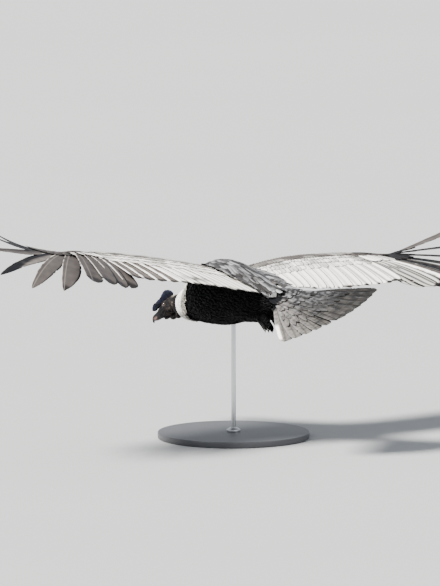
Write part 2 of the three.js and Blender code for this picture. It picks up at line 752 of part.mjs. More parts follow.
function wingSolid(wing) {
  const feathers = [
    ...Array.from({ length: PRIMARY_COUNT }, (_, i) => primary(wing, i)),
    ...Array.from({ length: PRIMARY_COVERTS.count }, (_, i) => primaryCovert(wing, i)),
    ...Array.from({ length: SECONDARY_COUNT }, (_, i) => secondary(wing, i)),
    tertial(wing),
    ...coverts(wing, GREATER_COVERTS),
    ...coverts(wing, MEDIAN_COVERTS),
    ...coverts(wing, UNDER_COVERTS),
    ...ALULA.map((sizes) => alulaFeather(wing, sizes)),
  ];
  return cut(join([armSolid(wing), ...feathers.map(solidOf)]), torsoSolid(GAP));
}

// Tail.

function tailPlace() {
  const roll = new THREE.Matrix4().makeRotationY(rad(TAIL_ROLL_DEG));
  const droop = new THREE.Matrix4().makeRotationX(rad(-TAIL_DROOP_DEG));
  return roll.multiply(droop).setPosition(...TAIL_ROOT);
}

// Tail feather q runs from -1, the right edge of the fan, to 1, its left edge.
function rectrix(i) {
  const q = (2 * i) / (TAIL_COUNT - 1) - 1;
  const side = Math.sign(q);
  const edge = Math.abs(q);
  return feather({
    side,
    form: RECTRIX,
    root: { out: edge * TAIL_HALF_ROOT, aft: 0 },
    angle: TAIL_SPREAD_DEG * edge,
    length: lerp(TAIL_LENGTH[1], TAIL_LENGTH[0], edge),
    tilt: TAIL_TILT,
    shaft: true,
    place: (out, aft, t) => (Math.max(side, 0) * TAIL_LEFT_RISE - TAIL_STEP_DOWN * edge) * t,
  });
}

function tailCoverts({ count, aft, length, spread, lift }) {
  return Array.from({ length: count }, (_, i) => {
    const q = (2 * i) / (count - 1) - 1;
    return feather({
      side: Math.sign(q),
      form: TAIL_COVERT,
      root: { out: Math.abs(q) * TAIL_HALF_ROOT * 0.8, aft: aft + vary(4) },
      angle: spread * Math.abs(q) + vary(1.5),
      length: length * (1 + vary(0.05)),
      tilt: TAIL_TILT,
      place: (x, y, t) => lerp(...lift, Math.min(t / LIFTED_AT, 1)) + (q > 0 ? TAIL_LEFT_RISE * t : 0),
    });
  });
}

function tailSolid() {
  const feathers = [
    ...Array.from({ length: TAIL_COUNT }, (_, i) => rectrix(i)),
    ...TAIL_COVERTS.flatMap(tailCoverts),
  ];
  const root = loft(TAIL_CORE.map(([aft, middle, halfWidth, halfHeight]) => ellipseRing(
    V(0, aft, middle), V(halfWidth, 0, 0), V(0, 0, halfHeight), 14,
  )));
  const pieces = [root, ...feathers].map((geometry) => solidOf(geometry.applyMatrix4(tailPlace())));
  return cut(join(pieces), torsoSolid(GAP));
}

// Legs.

function legSolid(side) {
  const ankle = SHANK.at(-1)[0];
  const onSide = (out, aft, up) => V(side * out, aft, up);
  const shank = tube(SHANK.map((point) => onSide(...point)), SHANK_RADII, 8);
  const toes = TOE_SPREAD.map((spread) => tube(
    TOE_PATH.map(([share, aft, up]) => onSide(ankle + spread * share, aft, up)), TOE_RADII, 6,
  ));
  const hind = tube(HIND_TOE.map(([aft, up]) => onSide(ankle, aft, up)), TOE_RADII, 6);
  return cut(join([shank, ...toes, hind].map(solidOf)), torsoSolid(GAP));
}

// Stand.

function birdPlace() {
  const turn = new THREE.Euler(rad(-NOSE_UP_DEG), rad(BANK_DEG), 0, "YXZ");
  return new THREE.Matrix4().makeRotationFromEuler(turn)
    .setPosition(0, -ROD_AFT_OF_SHOULDERS, SHOULDER_HEIGHT);
}

function turned(profile, sides) {
  const points = profile.map(([radius, height]) => new THREE.Vector2(radius, height));
  return new THREE.LatheGeometry(points, sides).rotateX(Math.PI / 2);
}

function baseSolid() {
  return solidOf(turned([
    [0, 0],
    [BASE_RADIUS - BASE_BEVEL / 2, 0],
    [BASE_RADIUS, BASE_BEVEL / 2],
    [BASE_RADIUS, BASE_THICKNESS - BASE_BEVEL],
    [BASE_RADIUS - BASE_BEVEL, BASE_THICKNESS],
    [0, BASE_THICKNESS],
  ], 40));
}

// The rod ends against the belly.
function rodSolid() {
  const foot = BASE_THICKNESS + GAP;
  const profile = [[0, foot], [ROD_RADIUS, foot], [ROD_RADIUS, SHOULDER_HEIGHT], [0, SHOULDER_HEIGHT]];
  return cut(solidOf(turned(profile, 24)), solidOf(torsoGeometry(GAP).applyMatrix4(birdPlace())));
}

function collarSolid() {
  const foot = BASE_THICKNESS + GAP;
  const inner = ROD_RADIUS + GAP;
  return solidOf(turned([
    [inner, foot],
    [COLLAR_RADIUS, foot],
    [COLLAR_RADIUS, foot + COLLAR_HEIGHT / 2],
    [inner + COLLAR_LIP, foot + COLLAR_HEIGHT],
    [inner, foot + COLLAR_HEIGHT],
    [inner, foot],
  ], 20));
}

const bird = new THREE.Group();
bird.applyMatrix4(birdPlace());
const nearHead = [skullSolid(GAP), torsoSolid(GAP)];
bird.add(
  node("torso", "black", join([torsoGeometry(), ...backFeathers()].map(solidOf))),
  node("neck", "skin", cut(neckSolid(), ...nearHead)),
  node("head", "skin", headSolid()),
  node("comb", "comb", cut(combSolid(), skullSolid(GAP))),
  node("wattle", "skin", cut(wattleSolid(), ...nearHead, neckSolid(GAP))),
  node("bill_upper", "ivory", cut(upperBillSolid(), skullSolid(GAP))),
  node("bill_lower", "ivory", cut(lowerBillSolid(), skullSolid(GAP), upperBillSolid(GAP))),
  node("eye_left", "eye", eyeSolid(1)),
  node("eye_right", "eye", eyeSolid(-1)),
  node("ruff", "down", cut(ruffSolid(), torsoSolid(GAP), neckSolid(GAP))),
  node("wing_left", "slate", wingSolid(LEFT_WING)),
  node("wing_right", "slate", wingSolid(RIGHT_WING)),
  node("tail", "slate", tailSolid()),
  node("leg_left", "scale", legSolid(1)),
  node("leg_right", "scale", legSolid(-1)),
);

const condor = new THREE.Group();
condor.add(
  node("stand_base", "painted", baseSolid()),
  node("stand_rod", "steel", rodSolid()),
  node("stand_collar", "steel", collarSolid()),
  bird,
);

export default condor;
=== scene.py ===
"""A life-size Andean condor, an adult male, gliding on spread wings above a plain display stand.

The bird is drawn level in its own frame, in millimetres: x to its left, y aft and z up, with the
origin between its shoulders. It is then banked and lifted onto the rod, in metres. Feathers are
batches of thin closed vanes, worked out as whole arrays from a few sizes of each kind.
"""

from __future__ import annotations
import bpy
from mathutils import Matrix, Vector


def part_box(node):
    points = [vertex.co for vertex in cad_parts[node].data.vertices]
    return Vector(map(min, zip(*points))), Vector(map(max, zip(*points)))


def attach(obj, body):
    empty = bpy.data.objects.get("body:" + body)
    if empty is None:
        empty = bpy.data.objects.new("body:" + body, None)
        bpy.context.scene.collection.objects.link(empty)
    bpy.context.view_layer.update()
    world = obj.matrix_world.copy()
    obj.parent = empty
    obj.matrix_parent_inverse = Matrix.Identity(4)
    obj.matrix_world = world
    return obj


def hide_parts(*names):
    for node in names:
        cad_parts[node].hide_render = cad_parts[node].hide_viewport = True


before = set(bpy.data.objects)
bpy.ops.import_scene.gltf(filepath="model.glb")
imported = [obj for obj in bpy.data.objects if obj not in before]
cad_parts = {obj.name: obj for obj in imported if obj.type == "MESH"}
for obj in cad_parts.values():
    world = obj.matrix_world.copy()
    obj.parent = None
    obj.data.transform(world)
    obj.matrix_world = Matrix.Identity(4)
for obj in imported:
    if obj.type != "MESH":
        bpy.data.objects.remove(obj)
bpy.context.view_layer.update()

import logging
import math
from dataclasses import dataclass, field
from enum import Enum
from typing import Callable, Sequence

import bpy
import numpy as np

Array = np.ndarray
Height = Callable[[Array, Array, Array], Array]
Surface = Callable[[Array, Array], Array]
Colour = tuple[float, float, float]

log = logging.getLogger("condor")

MM = 0.001
GOLDEN = 0.618034
WHOLE_TURN = 2 * np.pi
X, Y, Z = range(3)

# The map OFBake: the part that a piece fills, and the width of the patch of one small feather.
WHOLE_MAP = (0.02, 0.02, 0.96, 0.96)
PATCH = 0.003

# Attitude of the bird on its stand.
SHOULDER_HEIGHT = 590.0
ROD_AFT_OF_SHOULDERS = 50.0
BANK = math.radians(-6.7)
NOSE_UP = math.radians(1.3)


class Slot(Enum):
    """The record's material slots."""

    BODY = "body_feathers"
    FLIGHT = "flight_feathers"
    DOWN = "down"
    SKIN = "skin"
    COMB = "comb_skin"
    HORN = "horn"
    EYE = "eye"
    FOOT = "foot_scale"
    PAINT = "stand_paint"
    STEEL = "stand_steel"


def srgb(red: int, green: int, blue: int) -> Array:
    """Linear colour of an 8-bit display colour, by the display's power curve."""
    shares = np.array([red, green, blue]) / 255
    return np.where(shares <= 0.04045, shares / 12.92, ((shares + 0.055) / 1.055) ** 2.4)


BLACK = srgb(8, 8, 10)
SOOT = srgb(28, 26, 26)
SLATE = srgb(78, 77, 77)
SILVER = srgb(128, 127, 125)
MIST = srgb(168, 170, 174)
# Down as it looks in shade: painted shade on the ruff's lower side.
DOWN_PAINTED_SHADE = srgb(150, 146, 134)
UMBER = srgb(75, 70, 67)
SAND = srgb(128, 121, 114)
CHALK = srgb(250, 247, 241)


def turned(axis: int, angle: float) -> Array:
    """Matrix of a right-handed turn about axis X, Y or Z: cosines, and the sine with both signs."""
    first, second = (axis + 1) % 3, (axis + 2) % 3
    matrix = np.eye(3)
    matrix[first, first] = matrix[second, second] = math.cos(angle)
    matrix[second, first] = math.sin(angle)
    matrix[first, second] = -math.sin(angle)
    return matrix


BIRD_TURN = turned(Y, BANK) @ turned(X, -NOSE_UP)
BIRD_PLACE = np.array([0.0, -ROD_AFT_OF_SHOULDERS, SHOULDER_HEIGHT])


def on_stand(points: Array) -> Array:
    """Points of the bird's frame, banked and lifted onto the rod: turn, then shift."""
    return points @ BIRD_TURN.T + BIRD_PLACE


def unit(vectors: Array) -> Array:
    """Vectors divided by their lengths."""
    return vectors / np.linalg.norm(vectors, axis=-1, keepdims=True).clip(1e-9)


def spline(places: Sequence[float], values: Sequence, at: Array) -> Array:
    """Smooth curve through values, straight beyond both ends.

    Each stretch is a cubic with the slope at a place taken between its two neighbours.

    Args:
        places: Where the values are given, rising.
        values: One value, or one vector, for each place.
        at: Where the curve is wanted, any shape.

    Returns:
        The curve there, with the vector's axis last if there is one.
    """
    x = np.asarray(places, float)
    y = np.asarray(values, float)
    at = np.asarray(at, float)
    order = np.arange(len(x))
    before = np.maximum(order - 1, 0)
    after = np.minimum(order + 1, len(x) - 1)
    gap = x[after] - x[before]
    slope = (y[after] - y[before]) / (gap if y.ndim == 1 else gap[:, None])
    k = np.clip(np.searchsorted(x, at, side="right") - 1, 0, len(x) - 2)
    step = x[k + 1] - x[k]
    t = (at - x[k]) / step
    inside = np.clip(t, 0, 1)
    beyond = (t - inside) * step
    if y.ndim > 1:
        step, inside, beyond = step[..., None], inside[..., None], beyond[..., None]
    rise = (3 - 2 * inside) * inside**2
    swing = step * inside * (1 - inside)
    curve = y[k] * (1 - rise) + y[k + 1] * rise
    curve = curve + swing * ((1 - inside) * slope[k] - inside * slope[k + 1])
    return curve + beyond * np.where(beyond < 0, slope[0], slope[-1])


def ease(low: float, high: float, at: Array) -> Array:
    """Smooth step: 0 below low, 1 above high and 3t squared less 2t cubed between."""
    t = np.clip((at - low) / (high - low), 0, 1)
    return t * t * (3 - 2 * t)


def bump(distance: Array) -> Array:
    """Bell of height 1: e to the minus distance squared."""
    return np.exp(-(distance**2))


def ripple(points: Array, size: float, seed: int) -> Array:
    """Smooth random swell about 0: sine waves of about one size, in random directions, summed.

    Args:
        points: Places in millimetres, with x, y and z on the last axis.
        size: Length of the swell in millimetres.
        seed: Which swell.

    Returns:
        The swell, mostly from -1 to 1.
    """
    draw = np.random.default_rng(seed)
    waves = draw.normal(size=(9, 3)) * (2.4 / size)
    phase = draw.uniform(0, 2 * np.pi, 9)
    return np.sin(points @ waves.T + phase).sum(-1) / 3


def mixed(first: Array, second: Array, share: Array) -> Array:
    """Colour between two: first where the share is 0 and second where it is 1."""
    share = np.asarray(share)[..., None]
    return first * (1 - share) + second * share


def together(*parts: Array) -> Array:
    """Places or colours from their separate numbers, which become the last axis."""
    return np.stack(np.broadcast_arrays(*parts), -1)


def each(values: Array) -> Array:
    """One value for each feather, set against the rows and columns of its points."""
    return np.asarray(values, float)[:, None, None]


def ring(count: int) -> Array:
    """Turns of points all round: whole turns times 0, 1, 2 and so on over the count."""
    return np.linspace(0, WHOLE_TURN, count, endpoint=False)


def rising(low: Array, high: Array, t: Array) -> Array:
    """Height that rises evenly from low at the root to high at 0.42 of the length."""
    return low + (high - low) * np.minimum(t / 0.42, 1)


def side_name(side: int) -> str:
    """Name of a side: 1 is left and -1 right."""
    return "left" if side > 0 else "right"


# Meshes.


@dataclass
class Shell:
    """Surfaces gathered as arrays, which become one mesh.

    Each point has a tint, which is its colour, and a grain of three numbers that the finish reads:
    millimetres across, millimetres along, and a number from 0 to 1 that is the piece's own.
    """

    points: list[Array] = field(default_factory=list)
    tints: list[Array] = field(default_factory=list)
    grains: list[Array] = field(default_factory=list)
    faces: list[Array] = field(default_factory=list)
    corners: list[Array] = field(default_factory=list)
    size: int = 0

    def add(self, points: Array, tint: Array, grain: Array, faces: list[tuple[Array, Array]]) -> None:
        """Adds one surface.

        Args:
            points: Places in the shell's frame.
            tint: Linear colours, one for each point or one for all.
            grain: The three numbers of the grain, likewise.
            faces: Pairs of vertex numbers, one row a face, and their places on the map.
        """
        points = points.reshape(-1, 3)
        self.points.append(points)
        self.tints.append(np.broadcast_to(np.reshape(tint, (-1, 3)), points.shape))
        self.grains.append(np.broadcast_to(np.reshape(grain, (-1, 3)), points.shape))
        for numbers, places in faces:
            self.faces.append(numbers + self.size)
            self.corners.append(np.clip(places, 0.0005, 0.9995).reshape(-1, 2))
        self.size += len(points)

    def add_rings(self, points: Array, tint: Array, grain: Array = (0, 0, 0),
                  box: Sequence[float] = WHOLE_MAP, flip: bool = True, ends: bool = True) -> None:
        """Adds rows of points that each close around, joined by quads as ring_faces says."""
        self.add(points, tint, grain, ring_faces(*points.shape[:2], box, flip, ends))

    def build(self, name: str, finish: Finish, slot: Slot, replaces: Sequence[str] = (),
              lift: Callable[[Array], Array] = on_stand) -> None:
        """Makes the mesh, dresses it and lets it ride.

        Args:
            name: The piece's name.
            finish: What makes its material.
            slot: The record's slot; not used.
            replaces: Nodes of the frame that it stands for.
            lift: Carries points of the shell's frame to millimetres on the stand.
        """
        mesh = bpy.data.meshes.new(name)
        points = lift(np.concatenate(self.points)) * MM
        widths = np.concatenate([np.full(len(rows), rows.shape[1]) for rows in self.faces])
        numbers = np.concatenate([rows.ravel() for rows in self.faces]).astype(np.int32)
        mesh.vertices.add(len(points))
        mesh.loops.add(len(numbers))
        mesh.polygons.add(len(widths))
        mesh.loops.foreach_set("vertex_index", numbers)
        mesh.polygons.foreach_set("loop_start", (np.cumsum(widths) - widths).astype(np.int32))
        tints = np.concatenate(self.tints)
        mesh.attributes.new("tint", "FLOAT_COLOR", "POINT")
        mesh.attributes.new("grain", "FLOAT_VECTOR", "POINT")
        mesh.uv_layers.new(name="OFBake")
        for data, key, values in (
                (mesh.vertices, "co", points),
                (mesh.attributes["tint"].data, "color", np.column_stack([tints, np.ones(len(tints))])),
                (mesh.attributes["grain"].data, "vector", np.concatenate(self.grains)),
                (mesh.uv_layers["OFBake"].uv, "vector", np.concatenate(self.corners))):
            data.foreach_set(key, values.astype(np.float32).ravel())
        mesh.update(calc_edges=True)
        mesh.shade_smooth()
        piece = bpy.data.objects.new(name, mesh)
        bpy.context.scene.collection.objects.link(piece)
        mesh.materials.append(finish.material())
        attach(piece, "root")
        if replaces:
            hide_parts(*replaces)
        log.info("%s: %d faces", name, len(widths))


def ring_faces(rows: int, columns: int, box: Sequence[float] = (0, 0, 1, 1), flip: bool = False,
               ends: bool = True) -> list[tuple[Array, Array]]:
    """Quads between rows of points that each close around, and one flat face at each end.

    A quad joins points k and k + 1 of row j to those of row j + 1. On the map a corner lies at
    the share k of the columns across and the share j of the rows up.

    Args:
        rows: Number of rows.
        columns: Number of points in a row.
        box: Left, bottom, width and height of the part of the map that the faces fill.
        flip: Whether to turn the faces round.
        ends: Whether to close the ends.

    Returns:
        Pairs of vertex numbers, one row a face, and places on the map, for Shell.add.
    """
    j, k = (index.ravel() for index in np.indices((rows - 1, columns)))
    after = (k + 1) % columns
    numbers = np.stack([j * columns + k, j * columns + after,
                        (j + 1) * columns + after, (j + 1) * columns + k], 1)
    across = np.stack([k, k + 1, k + 1, k], 1) / columns
    along = np.stack([j, j, j + 1, j + 1], 1) / (rows - 1)
    pairs = [(numbers, together(across, along))]
    for row, order in ((0, -1), (rows - 1, 1)) if ends else ():
        face = (row * columns + np.arange(columns)[::order])[None]
        pairs.append((face, np.full((1, columns, 2), (0.5, row / (rows - 1)))))
    order = -1 if flip else 1
    return [(face[:, ::order], places[:, ::order] * box[2:] + box[:2]) for face, places in pairs]


# Feathers.


@dataclass(frozen=True)
class Vane:
    """How one kind of feather is cut. Widths run from the quill to the tip, in millimetres.

    Attributes:
        at: Shares of the length at which the widths are given.
        outer: Widths on the outer side.
        inner: Widths on the inner side, where they differ.
        rows: Points along the feather.
        across: Shares of the width at which points lie, from the inner edge at -1 to the outer at 1.
        thick: Thickness of the vane beside its shaft.
        shaft: How far the shaft stands above the vane at its root.
        shaft_half: Half the shaft's width.
        crown: How far an edge droops, as a share of its width.
        splits: How many places the edge is parted at.
    """

    at: tuple[float, ...]
    outer: tuple[float, ...]
    inner: tuple[float, ...] = ()
    rows: int = 7
    across: tuple[float, ...] = (-1, 0, 1)
    thick: float = 0.8
    shaft: float = 0.4
    shaft_half: float = 2.0
    crown: float = 0.12
    splits: int = 0

    def shares(self) -> Array:
        """Shares of the length at which the rows lie, closer together near the tip."""
        even = np.linspace(0, 1, self.rows)
        return even + 0.12 * np.sin(np.pi * even) * even

    def offsets(self, count: int, width: Array | float, draw: np.random.Generator) -> Array:
        """Millimetres from the shaft: share across times the width there, less the splits.

        Args:
            count: Number of feathers.
            width: Their widths, as shares of the kind's.
            draw: Source of the differences.

        Returns:
            Offsets of all points, by feather, row and place across.
        """
        t = self.shares()
        s = np.asarray(self.across, float)
        outer, inner = (spline(self.at, widths, t).clip(0.3)[:, None]
                        for widths in (self.outer, self.inner or self.outer))
        offsets = s * np.where(s > 0, outer, inner) * each(np.broadcast_to(width, (count,)))
        for side in (0, -1):
            for _ in range(self.splits):
                middle = draw.uniform(0.25, 0.98, (count, 1))
                depth = draw.uniform(0.04, 0.22, (count, 1)) * (draw.random((count, 1)) < 0.7)
                offsets[:, :, side] *= 1 - depth * np.clip(1 - np.abs(t - middle) * self.rows / 0.9, 0, 1)
        return offsets


@dataclass
class Batch:
    """Feathers of one kind, as grids of points on the middle of their vanes.

    Attributes:
        vane: The kind.
        middle: Places of the points, by feather, row and place across.
        normal: Which way the upper face looks there.
        offset: Millimetres from the shaft.
        length: Each feather's length.
        side: 1 where the outer side lies to the left of the way to the tip, or -1.
        tint: Colours of the points, where they are known already.
    """

    vane: Vane
    middle: Array
    normal: Array
    offset: Array
    length: Array
    side: int = 1
    tint: Array | None = None

    def share(self) -> Array:
        """Share across, from the inner edge at -1 to the outer at 1, for each point."""
        return np.broadcast_to(np.asarray(self.vane.across, float), self.offset.shape)

    def along(self) -> Array:
        """Share of the length, for each point."""
        return np.broadcast_to(self.vane.shares()[None, :, None], self.offset.shape)

    def add_to(self, shell: Shell, tint: Array, corner: Array | None = None,
               strip: tuple[float, float] = (0.0, 1.0), seed: int = 0) -> None:
        """Closes the vanes and adds them to a shell.

        The faces lie half the thickness from the middle, less towards the edges by the square of
        the share across, and the shaft adds a bell of its own width. Both share the edges' points.

        Args:
            shell: What takes them.
            tint: Colours of the points of the middle, or one for each feather.
            corner: Where each feather's patch lies on the map. Without it, each has a strip.
            strip: Left edge and width of the part of the map that the strips share.
            seed: Seed of each feather's own number.
        """
        count, rows, _ = self.offset.shape
        s, t = self.share(), self.along()
        ridge = self.vane.shaft * (1 - 0.8 * t) * bump(self.offset / (self.vane.shaft_half * (1.2 - t)))
        flat = self.vane.thick / 2 * (1 - s**2) * (1 - 0.5 * t)
        top = self.middle + self.normal * (flat + ridge)[..., None]
        low = self.middle - self.normal * (flat + ridge * 0.6)[..., None]
        back = slice(-2, 0, -1)
        points = np.concatenate([top, low[:, :, back]], 2)
        shades = np.broadcast_to(tint if np.ndim(tint) == 4 else np.reshape(tint, (-1, 1, 1, 3)), top.shape)
        own = each(np.random.default_rng(seed).random(count))
        grain = together(self.offset, t * each(self.length), own)
        shades, grain = (np.concatenate([part, part[:, :, back]], 2) for part in (shades, grain))
        around = points.shape[2]
        places = together(np.arange(around) / (around - 1), self.vane.shares()[:, None])
        if corner is None:
            left = together(strip[0] + strip[1] * np.arange(count) / count, 0)
            places = left[:, None, None] + places * (0.94 * strip[1] / count, 1)
        else:
            places = corner[:, None, None] + (places - 0.5) * PATCH
        places = places.reshape(-1, 2)
        shift = (np.arange(count) * rows * around)[:, None, None]
        pairs = []
        for face, _ in ring_faces(rows, around, flip=self.side < 0):
            numbers = (face + shift).reshape(-1, face.shape[1])
            pairs.append((numbers, places[numbers]))
        shell.add(points, shades, grain, pairs)


@dataclass
class Flat:
    """Feathers drawn on the plan, seen from above, each with its root, its heading and its length.

    Attributes:
        out: How far each root lies from the middle line.
        aft: How far aft it lies.
        angle: Heading in degrees from straight aft, outwards.
        length: Length in millimetres.
        bend: How far in degrees a feather bends back to straight aft.
        tilt: How steeply its outer side is lifted.
        width: Its width, as a share of its kind's.
        twist: How much steeper it is at the tip.
        twist_reach: How far inwards from the shaft the twist goes on, in millimetres.
    """

    out: Array
    aft: Array
    angle: Array
    length: Array
    bend: float = 0.0
    tilt: float | Array = 0.1
    width: float | Array = 1.0
    twist: float | Array = 0.0
    twist_reach: float | Array = 0.0

    def batch(self, vane: Vane, place: Height, side: int, seed: int) -> Batch:
        """Lays the feathers out.

        The middle runs from the root along its heading, which turns back by the bend times the
        share of the length to the power 1.5. The height is the place's, plus the tilt times the
        millimetres across and the twist, which grows as the share squared, less the crown.

        Args:
            vane: Their kind.
            place: Height at a place on the plan and share of the length.
            side: 1 on the left of the bird or -1 on its right.
            seed: Seed of the splits.

        Returns:
            The batch.
        """
        count = len(self.out)
        draw = np.random.default_rng(seed)
        offset = vane.offsets(count, self.width, draw)
        t = vane.shares()[None, :, None]
        numbers = (self.out, self.aft, self.angle, self.length, self.tilt, self.twist, self.twist_reach)
        out, aft, angle, length, tilt, twist, reach = (
            each(np.broadcast_to(values, (count,))) for values in numbers)
        chord = np.radians(angle - self.bend * 0.4 * t**1.5)
        heading = np.radians(angle - self.bend * t**1.5)
        out = out + np.sin(chord) * length * t + np.cos(heading) * offset
        aft = aft + np.cos(chord) * length * t - np.sin(heading) * offset
        lean = tilt * np.minimum(t / max(vane.at[1], 0.1), 1)
        droop = vane.crown * offset**2 / np.abs(offset).max((1, 2), keepdims=True)
        sway = draw.normal(size=(count, 1, 1)) * 0.4 * np.sin(np.pi * t)
        lift = offset * lean + twist * t**2 * np.maximum(offset, -reach)
        up = place(out, aft, np.broadcast_to(t, out.shape)) + lift - droop + sway
        middle = together(side * out, aft, up)
        normal = np.cross(np.gradient(middle, axis=2), np.gradient(middle, axis=1)) * side
        return Batch(vane, middle, unit(normal), offset, length[:, 0, 0], side)


def lay_on(surface: Surface, vane: Vane, u: Array, v: Array, heading: Array, length: Array,
           rise: tuple[float, float], outward: int = 1, seed: int = 0,
           width: Array | float = 1.0) -> Batch:
    """Lays feathers on a surface of two parameters, each curved as the surface is.

    At a root the surface's two slopes give the steps of both parameters for one millimetre along
    and one across, by the inverse of their table of products. The points follow those steps, and
    stand off the surface by a height that grows with the share of the length to the power 1.4.

    Args:
        surface: Gives places from both parameters.
        vane: The kind of feather.
        u: First parameter at each root.
        v: Second parameter at each root.
        heading: Turn in radians from the way in which the first parameter grows.
        length: Lengths in millimetres.
        rise: Height off the surface at the root and at the tip.
        outward: 1 where the slope along u times that along v points outwards, or -1.
        seed: Seed of the splits.
        width: Widths, as shares of the kind's.

    Returns:
        The batch.
    """
    count = len(u)
    draw = np.random.default_rng(seed)
    step = 1e-3
    at = surface(u, v)
    slopes = np.stack([surface(u + step, v) - at, surface(u, v + step) - at], 1) / step
    normal = unit(np.cross(slopes[:, 0], slopes[:, 1])) * outward
    ahead = unit(slopes[:, 0])
    turn = np.broadcast_to(heading, (count,))[:, None]
    forth = np.cos(turn) * ahead + np.sin(turn) * np.cross(normal, ahead)
    ways = np.stack([forth, np.cross(forth, normal)], 1)
    inverse = np.linalg.inv(slopes @ slopes.swapaxes(1, 2))
    steps = np.einsum("nij,nkj->nki", inverse, ways @ slopes.swapaxes(1, 2))[..., None, None]
    offset = vane.offsets(count, width, draw)
    t = vane.shares()[None, :, None]
    run = t * each(length)
    place_u, place_v = (each(root) + steps[:, 0, k] * run + steps[:, 1, k] * offset
                        for k, root in enumerate((u, v)))
    skin = surface(place_u, place_v)
    face = unit(np.cross(surface(place_u + step, place_v) - skin,
                         surface(place_u, place_v + step) - skin)) * outward
    droop = vane.crown * offset**2 / np.abs(offset).max((1, 2), keepdims=True)
    stand = rise[0] + (rise[1] - rise[0]) * t**1.4 - droop + draw.uniform(-0.5, 0.5, (count, 1, 1)) * t
    return Batch(vane, skin + face * stand[..., None], face, offset, length)


# Finishes.


class Wiring:
    """A material's nodes, added one by one."""

    def __init__(self, name: str) -> None:
        """Starts a material of this name with a surface shader and an output."""
        self.held = bpy.data.materials.new(name)
        self.held.use_nodes = True
        self.tree = self.held.node_tree
        self.tree.nodes.clear()
        self.shader = self.tree.nodes.new("ShaderNodeBsdfPrincipled")
        output = self.tree.nodes.new("ShaderNodeOutputMaterial")
        self.tree.links.new(self.shader.outputs[0], output.inputs["Surface"])

    def set(self, **numbers: float | Sequence[float]) -> None:
        """Sets constants on the shader's own sockets, named with _ for a space."""
        for name, value in numbers.items():
            self.shader.inputs[name.replace("_", " ")].default_value = value

    def add(self, kind: str, values: dict | None = None, **sockets: object) -> bpy.types.Node:
        """Adds a node.

        Args:
            kind: Its type, without ShaderNode.
            values: Settings of the node itself.
            sockets: Numbers or other nodes' outputs for its inputs, named with _ for a space, or
                numbered as i0, i1 and so on.

        Returns:
            The node.
        """
        node = self.tree.nodes.new("ShaderNode" + kind)
        for name, value in (values or {}).items():
            setattr(node, name, value)
        for name, value in sockets.items():
            key = int(name[1:]) if name[0] == "i" and name[1:].isdigit() else name.replace("_", " ")
            if isinstance(value, bpy.types.NodeSocket):
                self.tree.links.new(value, node.inputs[key])
            else:
                node.inputs[key].default_value = value
        return node

    def maths(self, operation: str, first: object, second: object = 0.0) -> bpy.types.NodeSocket:
        """Output of one sum."""
        return self.add("Math", {"operation": operation}, i0=first, i1=second).outputs[0]

    def blend(self, share: object, first: object, second: object,
              mode: str = "MIX") -> bpy.types.NodeSocket:
        """Output of a mix of two colours."""
        node = self.add("Mix", {"data_type": "RGBA", "blend_type": mode}, i0=share, i6=first, i7=second)
        return node.outputs[2]

    def grain(self) -> bpy.types.NodeSocket:
        """Output of the points' grain."""
        return self.add("Attribute", {"attribute_name": "grain"}).outputs["Vector"]

    def tint(self, factor: Colour | None = None) -> bpy.types.NodeSocket:
        """Output of the points' tint, times a colour if one is given."""
        tint = self.add("Attribute", {"attribute_name": "tint"}).outputs["Color"]
        return tint if factor is None else self.blend(1.0, tint, (*factor, 1), "MULTIPLY")

    def noise(self, where: object, scale: float, detail: float = 3.0) -> bpy.types.NodeSocket:
        """Output of a noise, from 0 to 1."""
        return self.add("TexNoise", None, Vector=where, Scale=scale, Detail=detail).outputs[0]

    def object_place(self) -> bpy.types.NodeSocket:
        """Object coordinates."""
        return self.add("TexCoord").outputs["Object"]

    def join(self, colour: object, height: object | None = None, distance: float = 0.0002,
             strength: float = 1.0, roughness: object | None = None) -> bpy.types.Material:
        """Joins colour, bump and roughness to the shader, and returns the material."""
        self.tree.links.new(colour, self.shader.inputs["Base Color"])
        if height is not None:
            node = self.add("Bump", None, Height=height, Distance=distance, Strength=strength)
            self.tree.links.new(node.outputs[0], self.shader.inputs["Normal"])
        if roughness is not None:
            self.tree.links.new(roughness, self.shader.inputs["Roughness"])
        return self.held


@dataclass(frozen=True)
class Finish:
    """A finish, made as a material once and then shared."""

    name: str = "finish"

    def material(self) -> bpy.types.Material:
        """The material, made at its first use."""
        return bpy.data.materials.get(self.name) or self.make()

    def make(self) -> bpy.types.Material:
        """Makes the material."""
        raise NotImplementedError


